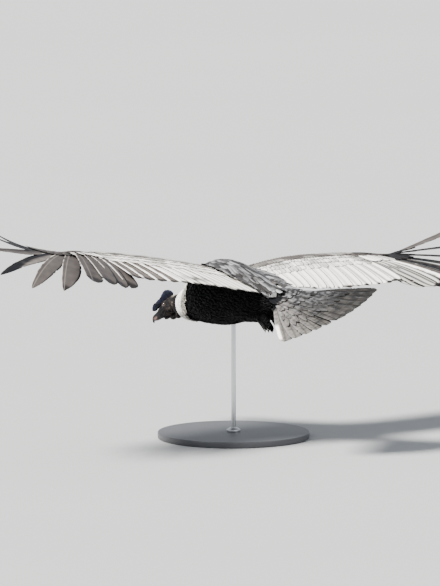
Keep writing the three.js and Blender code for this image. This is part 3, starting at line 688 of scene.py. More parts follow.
@dataclass(frozen=True)
class Plumage(Finish):
    """Feather vanes. Barbs run from the shaft outwards and to the tip, as streaks of noise.

    Attributes:
        roughness: How matt it is.
        sheen: Weight of its sheen.
        sheen_tint: The sheen's colour.
        streak: How much the barbs vary the colour.
        relief: How deep the barbs are, in metres.
        gloss: How much it mirrors.
    """

    name: str = "plumage"
    roughness: float = 0.5
    sheen: float = 0.2
    sheen_tint: Colour = (0.7, 0.75, 0.9)
    streak: float = 0.35
    relief: float = 0.0003
    gloss: float = 0.1

    def make(self) -> bpy.types.Material:
        """Makes the material: the tint, darkened by streaks along the barbs."""
        wires = Wiring(self.name)
        parts = wires.add("SeparateXYZ", None, Vector=wires.grain())
        across = wires.maths("ABSOLUTE", parts.outputs[0])
        barb = wires.maths("SUBTRACT", parts.outputs[1], wires.maths("MULTIPLY", across, 0.75))
        own = wires.maths("MULTIPLY", parts.outputs[2], 91.0)
        thin = wires.maths("MULTIPLY", across, 0.05)
        where = wires.add("CombineXYZ", None, i0=barb, i1=thin, i2=own).outputs[0]
        fine = wires.noise(where, 0.9, 2.0)
        broad = wires.noise(where, 0.11, 2.0)
        both = wires.maths("ADD", wires.maths("MULTIPLY", fine, 0.5), wires.maths("MULTIPLY", broad, 0.9))
        share = wires.maths("MULTIPLY", wires.maths("SUBTRACT", both, 0.35), self.streak * 1.6)
        wires.set(Roughness=self.roughness, Sheen_Weight=self.sheen, Sheen_Roughness=0.4,
                  Sheen_Tint=(*self.sheen_tint, 1), Specular_IOR_Level=self.gloss)
        colour = wires.blend(share, wires.tint(), wires.tint((0.35, 0.33, 0.32)))
        return wires.join(colour, fine, self.relief, 0.6)


@dataclass(frozen=True)
class Hide(Finish):
    """Bare wrinkled skin.

    Attributes:
        roughness: How matt it is.
        scale: Size of the fine wrinkles, per metre.
        relief: How deep they are, in metres.
        coat: Weight of a damp gloss over it.
        gloss: How much it mirrors.
    """

    name: str = "hide"
    roughness: float = 0.55
    scale: float = 700.0
    relief: float = 0.0006
    coat: float = 0.0
    gloss: float = 0.12

    def make(self) -> bpy.types.Material:
        """Makes the material: the tint, mottled, with pores and creases as bump."""
        wires = Wiring(self.name)
        where = wires.object_place()
        blotch = wires.noise(where, self.scale * 0.18, 4.0)
        cells = wires.add("TexVoronoi", {"feature": "DISTANCE_TO_EDGE"}, Vector=where, Scale=self.scale)
        pores = wires.noise(where, self.scale * 2.2, 4.0)
        crease = wires.maths("MINIMUM", wires.maths("MULTIPLY", cells.outputs[0], 3.0), 1.0)
        height = wires.maths("ADD", crease, wires.maths("MULTIPLY", pores, 0.7))
        share = wires.add("MapRange", None, Value=blotch, From_Min=0.3, From_Max=0.7).outputs[0]
        colour = wires.blend(share, wires.tint((0.42, 0.38, 0.36)), wires.tint((1.5, 1.42, 1.36)))
        wires.set(Roughness=self.roughness, Coat_Weight=self.coat, Coat_Roughness=0.25,
                  Specular_IOR_Level=self.gloss)
        return wires.join(colour, height, self.relief, 0.7)


@dataclass(frozen=True)
class Horn(Finish):
    """Bill or claw: smooth horn with faint lines of growth along it."""

    name: str = "horn"
    roughness: float = 0.32

    def make(self) -> bpy.types.Material:
        """Makes the material: the tint, with streaks along the grain."""
        wires = Wiring(self.name)
        slow = wires.add("Mapping", None, Vector=wires.grain(), Scale=(1, 0.12, 1))
        lines = wires.noise(slow.outputs[0], 0.8, 4.0)
        wires.set(Roughness=self.roughness, Coat_Weight=0.06, Coat_Roughness=0.2, Specular_IOR_Level=0.25)
        colour = wires.blend(lines, wires.tint(), wires.tint((0.55, 0.5, 0.46)))
        return wires.join(colour, lines, 0.00025, 0.5)


@dataclass(frozen=True)
class EyeGloss(Finish):
    """A wet eye, whose colours are its tint."""

    name: str = "eye_gloss"

    def make(self) -> bpy.types.Material:
        """Makes the material: the tint, with fine rays, under a clear wet coat."""
        wires = Wiring(self.name)
        wires.set(Roughness=0.12, Coat_Weight=1.0, Coat_Roughness=0.02, Specular_IOR_Level=0.6)
        rays = wires.noise(wires.grain(), 1.0)
        return wires.join(wires.blend(rays, wires.tint(), wires.tint((0.3, 0.26, 0.24))))


@dataclass(frozen=True)
class Paint(Finish):
    """Satin powder paint of the stand's base, with a fine orange-peel skin."""

    name: str = "paint"
    colour: Colour = (0.045, 0.046, 0.05)

    def make(self) -> bpy.types.Material:
        """Makes the material: one colour with faint clouds and a fine bump."""
        wires = Wiring(self.name)
        where = wires.object_place()
        clouds = wires.noise(where, 9.0, 4.0)
        peel = wires.noise(where, 900.0, 2.0)
        worn = tuple(share * 1.35 for share in self.colour)
        wires.set(Roughness=0.42, Specular_IOR_Level=0.45)
        return wires.join(wires.blend(clouds, (*self.colour, 1), (*worn, 1)), peel, 0.00012, 0.5)


@dataclass(frozen=True)
class Steel(Finish):
    """Brushed steel, with fine lines round the rod."""

    name: str = "steel"

    def make(self) -> bpy.types.Material:
        """Makes the material: metal whose noise is stretched round the rod."""
        wires = Wiring(self.name)
        stretch = wires.add("Mapping", None, Vector=wires.object_place(), Scale=(1.0, 1.0, 60.0))
        lines = wires.noise(stretch.outputs[0], 60.0, 4.0)
        rough = wires.add("MapRange", None, Value=lines, To_Min=0.22, To_Max=0.4).outputs[0]
        colour = wires.blend(lines, (0.52, 0.53, 0.55, 1), (0.68, 0.69, 0.7, 1))
        wires.set(Metallic=1.0)
        return wires.join(colour, lines, 0.00003, 0.4, rough)


@dataclass(frozen=True)
class Floor(Finish):
    """Plain pale floor."""

    name: str = "floor"

    def make(self) -> bpy.types.Material:
        """Makes the material: pale, matt, with very faint clouds."""
        wires = Wiring(self.name)
        clouds = wires.noise(wires.object_place(), 0.7, 3.0)
        wires.set(Roughness=0.85, Specular_IOR_Level=0.2)
        return wires.join(wires.blend(clouds, (0.33, 0.336, 0.342, 1), (0.36, 0.365, 0.37, 1)))


BLACK_COAT = Plumage("black_coat", roughness=0.6, sheen=0.0, streak=0.3, gloss=0.06)
GREY_COAT = Plumage("grey_coat", roughness=0.5, sheen=0.05, streak=0.5)
FLIGHT_COAT = Plumage("flight_coat", roughness=0.55, sheen=0.03, streak=0.2, gloss=0.06)
WHITE_DOWN = Plumage("white_down", roughness=0.85, sheen=0.35, sheen_tint=(1, 1, 1), streak=0.18)
BARE_SKIN = Hide("bare_skin", roughness=0.5)
COMB_HIDE = Hide("comb_hide", roughness=0.6, scale=520.0, relief=0.0009, coat=0.02, gloss=0.1)
FOOT_SKIN = Hide("foot_skin", roughness=0.55, scale=420.0, relief=0.0009)
BILL_HORN = Horn("bill_horn")


# The body.


@dataclass(frozen=True)
class Torso:
    """The trunk: a stack of upright ellipses from the breast to the rump.

    Attributes:
        aft: Where each section lies.
        middle: Height of its centre.
        half_width: Half its width.
        half_height: Half its height.
    """

    aft: tuple[float, ...] = (-212, -188, -130, -60, 40, 120, 200, 280, 345)
    middle: tuple[float, ...] = (-108, -101, -70, -44, -35, -33, -36, -40, -23)
    half_width: tuple[float, ...] = (40, 66, 101, 121, 122, 112, 92, 66, 42)
    half_height: tuple[float, ...] = (44, 67, 98, 123, 122, 102, 88, 71, 43)

    def section(self, aft: Array) -> list[Array]:
        """Half width, half height and height of the middle, each along its smooth curve."""
        curves = (self.half_width, self.half_height, self.middle)
        return [spline(self.aft, curve, aft) for curve in curves]

    def surface(self, aft: Array, turn: Array) -> Array:
        """Place on the trunk: centre plus cosine of the turn leftwards and sine of it upwards."""
        width, height, middle = self.section(aft)
        return together(width * np.cos(turn), aft, middle + height * np.sin(turn))

    def back(self, out: Array, aft: Array) -> Array:
        """Height of the back: the upper half of each ellipse, and its middle beside it."""
        width, height, middle = self.section(aft)
        return middle + height * np.sqrt(np.clip(1 - (out / width) ** 2, 0, None))


TORSO = Torso()

SMALL_VANE = Vane(at=(0, 0.25, 0.6, 0.85, 1), outer=(2, 7.5, 9, 6.5, 1), crown=0.08)


@dataclass
class BodyCoat:
    """Small contour feathers all round the trunk, in rows that lie aft.

    Attributes:
        first: Where the foremost row has its roots.
        last: Where the last row has its roots.
        row_step: Distance between rows.
        column_step: Distance between roots in a row.
        length: Length of a feather at the breast and at the rump.
    """

    first: float = -207.0
    last: float = 330.0
    row_step: float = 10.5
    column_step: float = 11.0
    length: tuple[float, float] = (32.0, 56.0)

    def roots(self) -> tuple[Array, Array]:
        """Aft and turn of every root: rows a step apart, each with as many as its girth takes."""
        draw = np.random.default_rng(11)
        rows = np.arange(self.first, self.last, self.row_step)
        width, height, _ = TORSO.section(rows)
        girth = np.hypot(width, height) * WHOLE_TURN / math.sqrt(2)
        counts = np.round(girth / self.column_step).astype(int)
        shift = np.repeat(np.arange(len(rows)) * GOLDEN, counts)
        inside = np.concatenate([np.arange(n) / n for n in counts])
        turn = (inside + shift / np.repeat(counts, counts)) * WHOLE_TURN
        aft = np.repeat(rows, counts) + draw.normal(size=len(turn)) * 1.8
        return aft, turn + draw.normal(size=len(turn)) * 0.018

    def build(self) -> None:
        """Builds the coat in two pieces, above and below the flanks."""
        aft, turn = self.roots()
        draw = np.random.default_rng(12)
        above = np.sin(turn) > 0.1
        for name, chosen in (("above", above), ("below", ~above)):
            u, v = aft[chosen], turn[chosen]
            count = len(u)
            share = np.clip((u - self.first) / (self.last - self.first), 0, 1)
            length = self.length[0] + (self.length[1] - self.length[0]) * share**0.6
            length = length * draw.uniform(0.88, 1.12, count)
            width = np.clip(0.62 + share * 1.2, 0, 1) * draw.uniform(0.9, 1.15, count)
            heading = draw.normal(size=count) * 0.09
            batch = lay_on(TORSO.surface, SMALL_VANE, u, v, heading, length, (-6.0, -0.8), 1, 13, width)
            tint = BLACK * draw.uniform(0.75, 1.2, (count, 1))
            # Painted sheen: on top of the trunk, behind the breast, the black is mixed towards grey, as
            # sunlight glancing off black feathers.
            grey = ease(0.55, 0.85, np.sin(v)) * ease(-180, -80, u)
            tint = mixed(tint, SLATE * 0.6, grey * draw.uniform(0.1, 0.8, count))
            shell = Shell()
            batch.add_to(shell, tint, together(v / WHOLE_TURN % 1, 0.06 + 0.9 * share), seed=14)
            shell.build("body_feathers_" + name, BLACK_COAT, Slot.BODY)


# The wings.

WING_OUT = (95, 300, 600, 790)
LEADING_EDGE = (-56, -63, -90, -52)
ARM_DEPTH = (110, 95, 78, 16)
ARM_THICKNESS = (58, 42, 30, 9)
ARM_NOSE = 6.0
ARM_ROUND = (-1, -0.806, -0.548, -0.283, 0, 0.283, 0.548, 0.806, 1)
ARM_HIGH = (-0.08, -0.45, -0.8, -0.55, -0.15, 0.06, 0.15, 0.13, 0.05)
CAMBER_LENGTH = 450.0
FINGER_AT = (0, 0.33, 0.45, 0.67, 1)
FINGER_LENGTH = (400, 500, 565, 635, 598)
FINGER_BEND = 4.0
PRIMARY_SUNK = 5.0
SECONDARY_ANGLE = (-13, -12, 3)

# Places along a wing: 0 next to the body, 1 at the innermost primary and 2 at the outermost.
WING_PLACES = (0, 0.5, 0.7, 0.8, 0.95, 1, 1.111, 1.222, 1.333, 1.444, 1.555, 1.667, 1.778, 1.889, 2)

FINE_ACROSS = (-1, -0.82, -0.58, -0.34, -0.14, -0.04, 0, 0.07, 0.2, 0.46, 0.76, 1)
FINE_LINES = (0, 0.5, 0, 0.5, 0, 0.3, 0.3, 0, 0, 0.7, 0.3, 0)
COVERT_ACROSS = (-1, -0.6, -0.2, 0, 0.2, 0.6, 1)

BROAD_PRIMARY = Vane(
    at=(0, 0.06, 0.14, 0.5, 0.84, 0.94, 0.985, 1),
    outer=(3, 8, 14, 24, 26, 22, 12, 3), inner=(3, 12, 24, 50, 52, 42, 20, 3),
    rows=84, across=FINE_ACROSS, thick=0.9, shaft=1.7, shaft_half=2.2, crown=0.05, splits=6)
FINGER_AT_WIDTHS = (0, 0.06, 0.14, 0.45, 0.7, 0.88, 0.97, 1)
FINGER_OUTER = (3, 8, 12, 17, 15, 11, 5, 1.2)
FINGER_INNER = np.array([(3, 12, 24, 54, 56, 34, 12, 1.5), (3, 12, 22, 42, 30, 20, 8, 1.5)])


def finger_primary(narrowness: float) -> Vane:
    """Cut of an outer primary: its inner vane between the wide kind at 0 and the narrow one at 1."""
    inner = FINGER_INNER[0] * (1 - narrowness) + FINGER_INNER[1] * narrowness
    return Vane(at=FINGER_AT_WIDTHS, outer=FINGER_OUTER, inner=tuple(inner), rows=92,
                across=FINE_ACROSS, thick=1.0, shaft=2.0, shaft_half=2.6, crown=0.05, splits=7)


SECONDARY = Vane(
    at=(0, 0.08, 0.18, 0.6, 0.9, 0.965, 1),
    outer=(3, 11, 18, 25, 25, 18, 3), inner=(3, 16, 30, 46, 46, 32, 4),
    rows=70, across=FINE_ACROSS, thick=0.8, shaft=1.5, shaft_half=2.0, crown=0.05, splits=5)
LONG_COVERT = Vane(
    at=(0, 0.2, 0.5, 0.86, 0.96, 1),
    outer=(3, 11, 15, 14, 9, 1.5), inner=(3, 13, 18, 17, 11, 1.5),
    rows=26, across=COVERT_ACROSS, thick=0.7, shaft=0.8, shaft_half=1.6, crown=0.08, splits=3)
LESSER_COVERT = Vane(at=(0, 0.25, 0.6, 0.88, 1), outer=(2, 10, 12, 9, 1.5), rows=8)


def across_arm(values: Sequence[float], out: Array) -> Array:
    """Smooth curve through values at the stations of WING_OUT."""
    return spline(WING_OUT, values, out)


def over_secondaries(values: Sequence[float], q: Array) -> Array:
    """Smooth curve through values at the body, the elbow and the wrist."""
    return spline((0, 0.5, 1), values, q)


@dataclass
class Wing:
    """One wing: an arm, ten primaries, the secondaries and the tiers of coverts.

    Attributes:
        side: 1 on the left of the bird, -1 on its right.
        rise: Height of the leading edge at the stations of WING_OUT.
        slope: How steeply the surface falls behind it.
        camber: How much it curves down.
        finger_angle: Headings of the primaries, from the innermost to the outermost, in degrees.
        finger_rise: How steeply they start, in degrees.
        finger_curl: How much they curl up.
        finger_tilt: How steeply their outer sides are lifted.
        twist: How much steeper the first and the fourth are at the tip.
        outer_tone: Tone of the outer vanes at WING_PLACES: 0 black, 0.5 grey-brown and 1 sand.
        inner_tone: Tone of the inner vanes.
        white: White share of the outer vanes, and over 1 of the inner vanes too.
        seam: How dark a line lies beside the next feather's edge, where all else is white.
        lined: Share of fine white lines along a feather, in place of the white fringe.
        dusky: Share of the length at which the dark tips begin, from the body to the wrist.
        covert_tone: Tone of the primaries' coverts: 0 black and 1 grey-brown.
    """

    side: int
    rise: tuple[float, ...]
    slope: tuple[float, ...]
    camber: tuple[float, ...]
    finger_angle: tuple[float, ...]
    finger_rise: tuple[float, ...]
    finger_curl: tuple[float, ...]
    finger_tilt: tuple[float, ...]
    twist: tuple[float, float]
    covert_tone: float
    outer_tone: tuple[float, ...]
    inner_tone: tuple[float, ...]
    white: tuple[float, ...]
    seam: tuple[float, ...]
    lined: tuple[float, ...]
    dusky: tuple[float, float, float]

    @property
    def label(self) -> str:
        """The side's name."""
        return side_name(self.side)

    def height(self, out: Array, aft: Array) -> Array:
        """Height of the wing's middle surface: the arm's rise less slope and camber behind it."""
        behind = aft - across_arm(LEADING_EDGE, out)
        curve = across_arm(self.camber, out) * np.abs(behind) / CAMBER_LENGTH
        return across_arm(self.rise, out) - (across_arm(self.slope, out) + curve) * behind

    def arm(self, around: Array, out: Array) -> Array:
        """Place on the arm. Its chord is the square of the way around, so that the nose is round.

        Args:
            around: Way around the section: -1 under the rear, 0 the nose, 1 over the rear.
            out: Distance from the middle line.

        Returns:
            The place.
        """
        aft = across_arm(LEADING_EDGE, out) - ARM_NOSE + (across_arm(ARM_DEPTH, out) + ARM_NOSE) * around**2
        thick = across_arm(ARM_THICKNESS, out) * spline(ARM_ROUND, ARM_HIGH, around)
        return together(self.side * out, aft, self.height(out, aft) + thick)

    def arm_tint(self, around: Array, out: Array) -> Array:
        """Colour of the arm: black below, brown on its edge and, as far as the wrist, white behind."""
        patch = ripple(together(around * 60, out, 0), 30.0, 33)
        white = ease(0.42, 0.6, around + 0.1 * patch) * (1 - ease(560, 640, out))
        dark = mixed(BLACK, UMBER, ease(-0.1, 0.05, around) * 0.8)
        return mixed(dark, CHALK, white * (0.8 + 0.2 * patch))

    def inner_place(self, low: float, high: float) -> Height:
        """Height of a feather of the inner wing: on its surface, or on the back if that is higher."""

        def place(out: Array, aft: Array, t: Array) -> Array:
            """Height at a place on the plan."""
            on_back = (out < TORSO.half_width[4]) & (aft > 60)
            back = np.where(on_back, TORSO.back(out, aft) + 3, -np.inf)
            return np.maximum(self.height(out, aft), back) + rising(low, high, t)

        return place

    def primary_batch(self, vane: Vane, q: Array, seed: int, covert: Array | None = None) -> Batch:
        """Primaries of one kind, or coverts over their roots.

        A primary rises by its length times t times its rise plus curl times t. A covert follows
        that path for its own length, 5 mm over it.

        Args:
            vane: The kind.
            q: Places among the primaries, from 0 for the innermost to 1 for the outermost.
            seed: Seed of the splits.
            covert: Lengths of the coverts, if it is coverts.

        Returns:
            The batch.
        """
        out, aft = 605 + 180 * q, -80 + 30 * q
        angle, length, rise, curl, tilt = (
            spline(FINGER_AT, values, q) for values in
            (self.finger_angle, FINGER_LENGTH, self.finger_rise, self.finger_curl, self.finger_tilt))
        base = self.height(out, aft) - PRIMARY_SUNK
        own, over = (length, 0) if covert is None else (covert, 5)

        def place(x: Array, y: Array, t: Array) -> Array:
            """Height at a share of the feather's own length."""
            run = each(own) * t
            slope = each(np.tan(np.radians(rise))) + each(curl / length) * run
            return each(base) + run * slope + rising(0, over, t)

        if covert is None:
            twist = np.interp(q, (0, 0.33, 0.4), (*self.twist, 0))
            flat = Flat(out, aft, angle, length, FINGER_BEND, tilt, 1.0, twist, np.where(q > 0, 22.0, 0.0))
        else:
            flat = Flat(out, aft, angle, covert, 0.0, tilt, 1.1)
        return flat.batch(vane, place, self.side, seed)

    def fringe(self, batch: Batch, places: Array, white: Array) -> Array:
        """Colours of flight feathers: tones of grey-brown, a white outer fringe and a dark tip.

        The fringe takes the white share of the outer vane, from its edge, and where the share is
        over one it takes the inner vane too. It ends before the dark tip.

        Args:
            batch: The feathers.
            places: Where each stands in the wing, as in WING_PLACES.
            white: White share of each.

        Returns:
            Colours of the points.
        """
        s, t = batch.share(), batch.along()
        grain = ripple(batch.middle, 22.0, 31) * 0.06
        outer, inner = (each(spline(WING_PLACES, tones, places))
                        for tones in (self.outer_tone, self.inner_tone))
        seam, lined = (each(np.interp(places, WING_PLACES, shares)) for shares in (self.seam, self.lined))
        dusky = each(np.interp(places, (0, 0.6, 1), self.dusky))
        place, white = each(places), each(white)
        own = np.random.default_rng(32).uniform(-0.08, 0.08, place.shape)
        # The line between the two tones runs down the shaft, or on the fingers inside it.
        turning = np.where(place > 1.6, -0.45, 0.0)
        turning = np.where(np.abs(place - 1.667) < 0.02, -0.3 - 0.8 * ease(0.5, 0.9, t), turning)
        tone = inner + (outer - inner) * ease(turning - 0.12, turning + 0.12, s) + own + grain
        rest = mixed(mixed(BLACK, UMBER, (tone * 2).clip(0, 1)), SAND, (tone * 2 - 1).clip(0, 1))
        start = np.where(white > 1, -2, 1 - white)
        share = ease(start - 0.07, start + 0.07, s + grain) * (1 - lined)
        share = share + np.interp(s, FINE_ACROSS, FINE_LINES) * lined
        share = share * (1 - seam * (white > 1) * bump((s + 0.1) / 0.08))
        tip = 1 - ease(dusky - 0.02, dusky + 0.02, t + grain * 0.3 - 0.03 * np.abs(s))
        painted = mixed(rest, CHALK, share * tip)
        painted = mixed(painted, SOOT * 0.6, (place <= 1.45) * (1 - tip) * 0.85)
        painted = mixed(painted, UMBER, ease(0.93, 1, np.abs(s)) * (share > 0.5) * 0.35)
        # A dark patch on the near wing's inner secondaries: partly the dark feathers beneath showing
        # through, partly painted shade in the gap under the tertials.
        if self.side > 0:
            gap = bump(np.hypot((place - 0.5) / 0.1, (t - 0.8) / 0.07 - 0.6 * s))
            painted = mixed(painted, SOOT, 0.9 * gap)
        shaft = bump(batch.offset / 1.5)
        pale = (place > 1.3) & (place < 1.6)
        return mixed(mixed(painted, SOOT, shaft * 0.45 * ~pale), SAND, shaft * 0.5 * pale)

    def build_flight(self) -> None:
        """Builds the primaries and secondaries as one piece, in six groups with strips of the map."""
        count = 14
        q = np.arange(count) / (count - 1)
        draw = np.random.default_rng(21)
        angle = over_secondaries(SECONDARY_ANGLE, q) + draw.uniform(-0.4, 0.4, count)
        length = over_secondaries((310, 355, 340), q) * draw.uniform(0.985, 1.012, count)
        inner = Flat(125 + 465 * q, 10 - 70 * q, angle, length, 0.0, 0.09)
        tertial = Flat(*np.array([[101.0], [32.0], [-13.0], [248.0]]), 0.0, 0.09, 0.72)
        groups = [(tertial.batch(SECONDARY, self.inner_place(-1, 4.5), self.side, 23), np.zeros(1)),
                  (inner.batch(SECONDARY, self.inner_place(-3, 0), self.side, 22), q * 0.95)]
        for vane, first, last, seed in ((BROAD_PRIMARY, 0, 4, 24), (finger_primary(0.0), 4, 5, 29),
                                        (finger_primary(0.5), 5, 6, 30), (finger_primary(1.0), 6, 10, 31)):
            q = np.arange(first, last) / 9
            groups.append((self.primary_batch(vane, q, seed), 1 + q))
        shell = Shell()
        total = sum(len(places) for _, places in groups)
        done = 0
        for k, (batch, places) in enumerate(groups):
            white = np.interp(places, WING_PLACES, self.white) if k else np.array([0.9 * (self.side > 0)])
            strip = (done / total, len(places) / total)
            batch.add_to(shell, self.fringe(batch, places, white), None, strip, 36 + done)
            done += len(places)
        shell.build(f"wing_{self.label}_flight", FLIGHT_COAT, Slot.FLIGHT, [f"wing_{self.label}"])

    def tier(self, count: int, behind: float, lengths: Sequence[float], lift: tuple[float, float],
             width: float, seed: int, tilt: float = 0.08) -> Batch:
        """One tier of coverts over or under the secondaries.

        Args:
            count: How many.
            behind: How far their roots lie behind the leading edge.
            lengths: Lengths at the body, the elbow and the wrist.
            lift: Height over the wing's surface at the root and at the tip.
            width: Width, as a share of the kind's.
            seed: Seed of the differences.
            tilt: How steeply the outer side is lifted.

        Returns:
            The batch.
        """
        draw = np.random.default_rng(seed)
        q = (np.arange(count) + 0.5) / count
        out = 118 + 480 * q
        aft = across_arm(LEADING_EDGE, out) + behind + draw.uniform(-2.5, 2.5, count)
        angle = over_secondaries(SECONDARY_ANGLE, q) + draw.uniform(-1.8, 1.8, count)
        length = over_secondaries(lengths, q) * draw.uniform(0.95, 1.05, count)
        flat = Flat(out, aft, angle, length, 0.0, tilt, width * draw.uniform(0.94, 1.08, count))
        return flat.batch(LONG_COVERT, self.inner_place(*lift), self.side, seed)

    def primary_coverts(self) -> Batch:
        """Eleven coverts over the roots of the primaries."""
        length = 150 * np.random.default_rng(41).uniform(0.94, 1.05, 11)
        return self.primary_batch(LONG_COVERT, (np.arange(11) + 0.3) / 11, 42, length)

    def alula(self) -> Batch:
        """The four feathers of the thumb, stepped from one to the next on the wrist's edge."""
        step = np.arange(4)
        out = 606.0 - 3.0 * step
        flat = Flat(out, across_arm(LEADING_EDGE, out) + 5 + step, 75.0 + 2 * step, 152.0 - 19 * step,
                    8.0, 0.08, 0.85)

        def place(x: Array, y: Array, t: Array) -> Array:
            """Height over the wing."""
            return self.height(x, y) + rising(-1, 0.5 + 1.2 * each(step), t)

        return flat.batch(LONG_COVERT, place, self.side, 43)

    def arm_coverts(self) -> list[tuple[Batch, Array, Array]]:
        """Small feathers all round the arm: rows over it and rows under it, lying aft.

        Returns:
            Batches with their colours and their places on the map.
        """
        rows = []
        count = 52
        for sign, last, steps in ((1, 0.94, 9), (-1, 0.97, 10)):
            draw = np.random.default_rng(50 + steps)
            for k, way in enumerate(np.linspace(0.02, last, steps)):
                out = 92 + 665 * (np.arange(count) + 0.5 * (k % 2)) / count
                out = out + draw.uniform(-3, 3, count)
                around = sign * way + draw.uniform(-0.015, 0.015, count)
                length = (38 + 14 * way) * np.interp(out, (90, 600, 790), (1.0, 0.85, 0.55))
                if sign < 0:
                    length = np.minimum(length, 12 + across_arm(ARM_DEPTH, out) * (1 - way**2))
                heading = (0 if sign > 0 else np.pi) + draw.normal(size=count) * 0.1
                length = length * draw.uniform(0.9, 1.1, count)
                batch = lay_on(self.arm, LESSER_COVERT, around, out, heading, length, (-2.5, 1.2),
                               -self.side, 60 + k, draw.uniform(0.75, 0.95, count))
                tint = self.arm_tint(around, out) * draw.uniform(0.55, 1.25, (count, 1))
                rows.append((batch, tint, together(0.5 + around * 0.48, 0.03 + 0.94 * out / 800)))
        return rows

    def build_coverts(self) -> None:
        """Builds the coverts, those above the wing as one piece and those below it as another."""
        above, below = Shell(), Shell()
        tiers = (
            (self.tier(26, 54, (150, 158, 135), (0, 2.4), 1.0, 71), 1.0),
            (self.tier(29, 38, (118, 122, 104), (1.5, 4.6), 0.95, 72), 0.95),
            (self.tier(32, 24, (88, 90, 78), (4, 6.8), 0.85, 73), 0.75),
            (self.tier(36, 10, (78, 78, 64), (6, 9), 0.85, 70), 0.05 + 0.15 * (self.side > 0)))
        for batch, white in tiers:
            draw = np.random.default_rng(75)
            patchy = white * (1 - ease(540, 640, batch.middle[..., 0] * self.side))
            share = np.clip(patchy + ripple(batch.middle, 45.0, 74) * 0.22, 0, 1)
            one_each = (len(batch.length), 1, 1)
            tint = mixed(UMBER, CHALK, share * (1 - 0.5 * draw.random(one_each) ** 3))
            streak = bump((batch.share() + 0.55) / 0.25) * (draw.random(one_each) < 0.35) * 0.4
            dark = 0.3 * bump(batch.offset / 1.2) + 0.2 * ease(0.92, 1, batch.along()) + streak
            batch.add_to(above, mixed(tint, UMBER, dark), self.map_places(batch), seed=75)
        for batch, white in ((self.primary_coverts(), 1), (self.alula(), 0)):
            s, t = batch.share(), batch.along()
            tint = mixed(BLACK, UMBER, self.covert_tone * (0.6 + 0.8 * ease(-0.3, 0.9, s)))
            first = white * each(np.clip(1 - np.arange(len(batch.length)) / 5, 0, 1)) ** 0.5
            chalk = first * ease(0.25, 0.45, t) * (1 - ease(0.5, 0.9, np.abs(s)))
            batch.add_to(above, mixed(tint, CHALK, chalk), self.map_places(batch), seed=76)
        for batch, tint, corner in self.arm_coverts():
            batch.add_to(above if corner[0, 0] > 0.5 else below, tint, corner, seed=77)
        for batch in (self.tier(22, 52, (150, 150, 125), (-11, -9), 1.1, 78, -0.06),
                      self.tier(22, 40, (110, 110, 95), (-16, -13), 1.1, 79, -0.06)):
            tint = mixed(BLACK, SOOT, ease(-1, 1, batch.share()) * 0.8)
            batch.add_to(below, tint, self.map_places(batch), seed=80)
        above.build(f"wing_{self.label}_coverts_above", FLIGHT_COAT, Slot.FLIGHT)
        below.build(f"wing_{self.label}_coverts_below", BLACK_COAT, Slot.BODY)

    def map_places(self, batch: Batch) -> Array:
        """Places of the roots on the map of the wing: across by aft, up by out."""
        root = batch.middle[:, 0, batch.offset.shape[2] // 2]
        return together(0.1 + (root[:, 1] + 120) / 300, 0.03 + np.abs(root[:, 0]) / 830 * 0.94)


LEFT_WING = Wing(
    side=1, rise=(53, 73, 83, 84), slope=(-0.006, -0.01, -0.022, 0.016),
    camber=(0.165, 0.164, 0.186, 0.09), finger_angle=(9, 27, 38, 57.5, 86),
    finger_rise=(7.5, 6.9, 3.7, 2.8, 4.2), finger_curl=(-0.33, -0.225, -0.23, -0.13, 0.34),
    finger_tilt=(0.12, 0.15, 0.17, 0.19, 0.24), twist=(0.45, 0.25), covert_tone=0.6,
    outer_tone=(0.6, 0.6, 0.6, 0.5, 0.42, 0.38, 0.38, 0.38, 0.33, 0.4, 0.4, 0.03, 0.2, 0.06, 0.05),
    inner_tone=(0.6, 0.6, 0.72, 0.7, 0.6, 0.5, 0.46, 0.42, 0.34, 0.45, 0.45, 0.75, 0.45, 0.1, 0.08),
    white=(1.6, 1.6, 0.85, 0.62, 0.46, 0.26, 0.18, 0.12, 0, 0, 0, 0, 0, 0, 0),
    seam=(0.15, 0.5, 0.5, 0, 0, 0, 0, 0, 0, 0, 0, 0, 0, 0, 0), lined=(0,) * 15,
    dusky=(0.955, 0.94, 0.9))
RIGHT_WING = Wing(
    side=-1, rise=(54, 101, 125, 137), slope=(-0.04, -0.019, 0.01, 0.021),
    camber=(0.13, 0.222, 0.166, 0.091), finger_angle=(11, 13, 25, 60, 112),
    finger_rise=(2.2, 1.2, 1.6, 3.5, 12), finger_curl=(-0.19, -0.11, -0.125, -0.14, 0.04),
    finger_tilt=(0.14, 0.27, 0.2, 0.11, -0.21), twist=(0.3, 0.3), covert_tone=0.12,
    outer_tone=(0.6, 0.6, 0.6, 0.3, 0.12, 0.1, 0.1, 0.1, 0.5, 0.05, 0.05, 0.05, 0.05, 0.1, 0.45),
    inner_tone=(0.6, 0.6, 0.2, 0.1, 0.1, 0.06, 0.05, 0.05, 0.05, 0.5, 0.08, 0.1, 0.1, 0.2, 0.5),
    white=(1.6, 1.6, 1.5, 1.4, 1.3, 0.6, 0.5, 0.5, 0.8, 0.1, 0.1, 0.1, 0.05, 0, 0),
    seam=(0.25, 0.35, 0.8, 1, 1, 0, 0, 0, 0, 0, 0, 0, 0, 0, 0),
    lined=(0, 0, 0, 0, 0, 1, 1, 1, 0, 0, 0, 0, 0, 0, 0), dusky=(0.965, 0.96, 0.955))


# The mantle and the scapulars.

BACK_VANE = Vane(
    at=(0, 0.2, 0.5, 0.84, 0.95, 1), outer=(3, 13, 17, 13, 7, 1), rows=22,
    across=COVERT_ACROSS, thick=0.8, shaft=0.6, shaft_half=1.6, crown=0.16, splits=3)


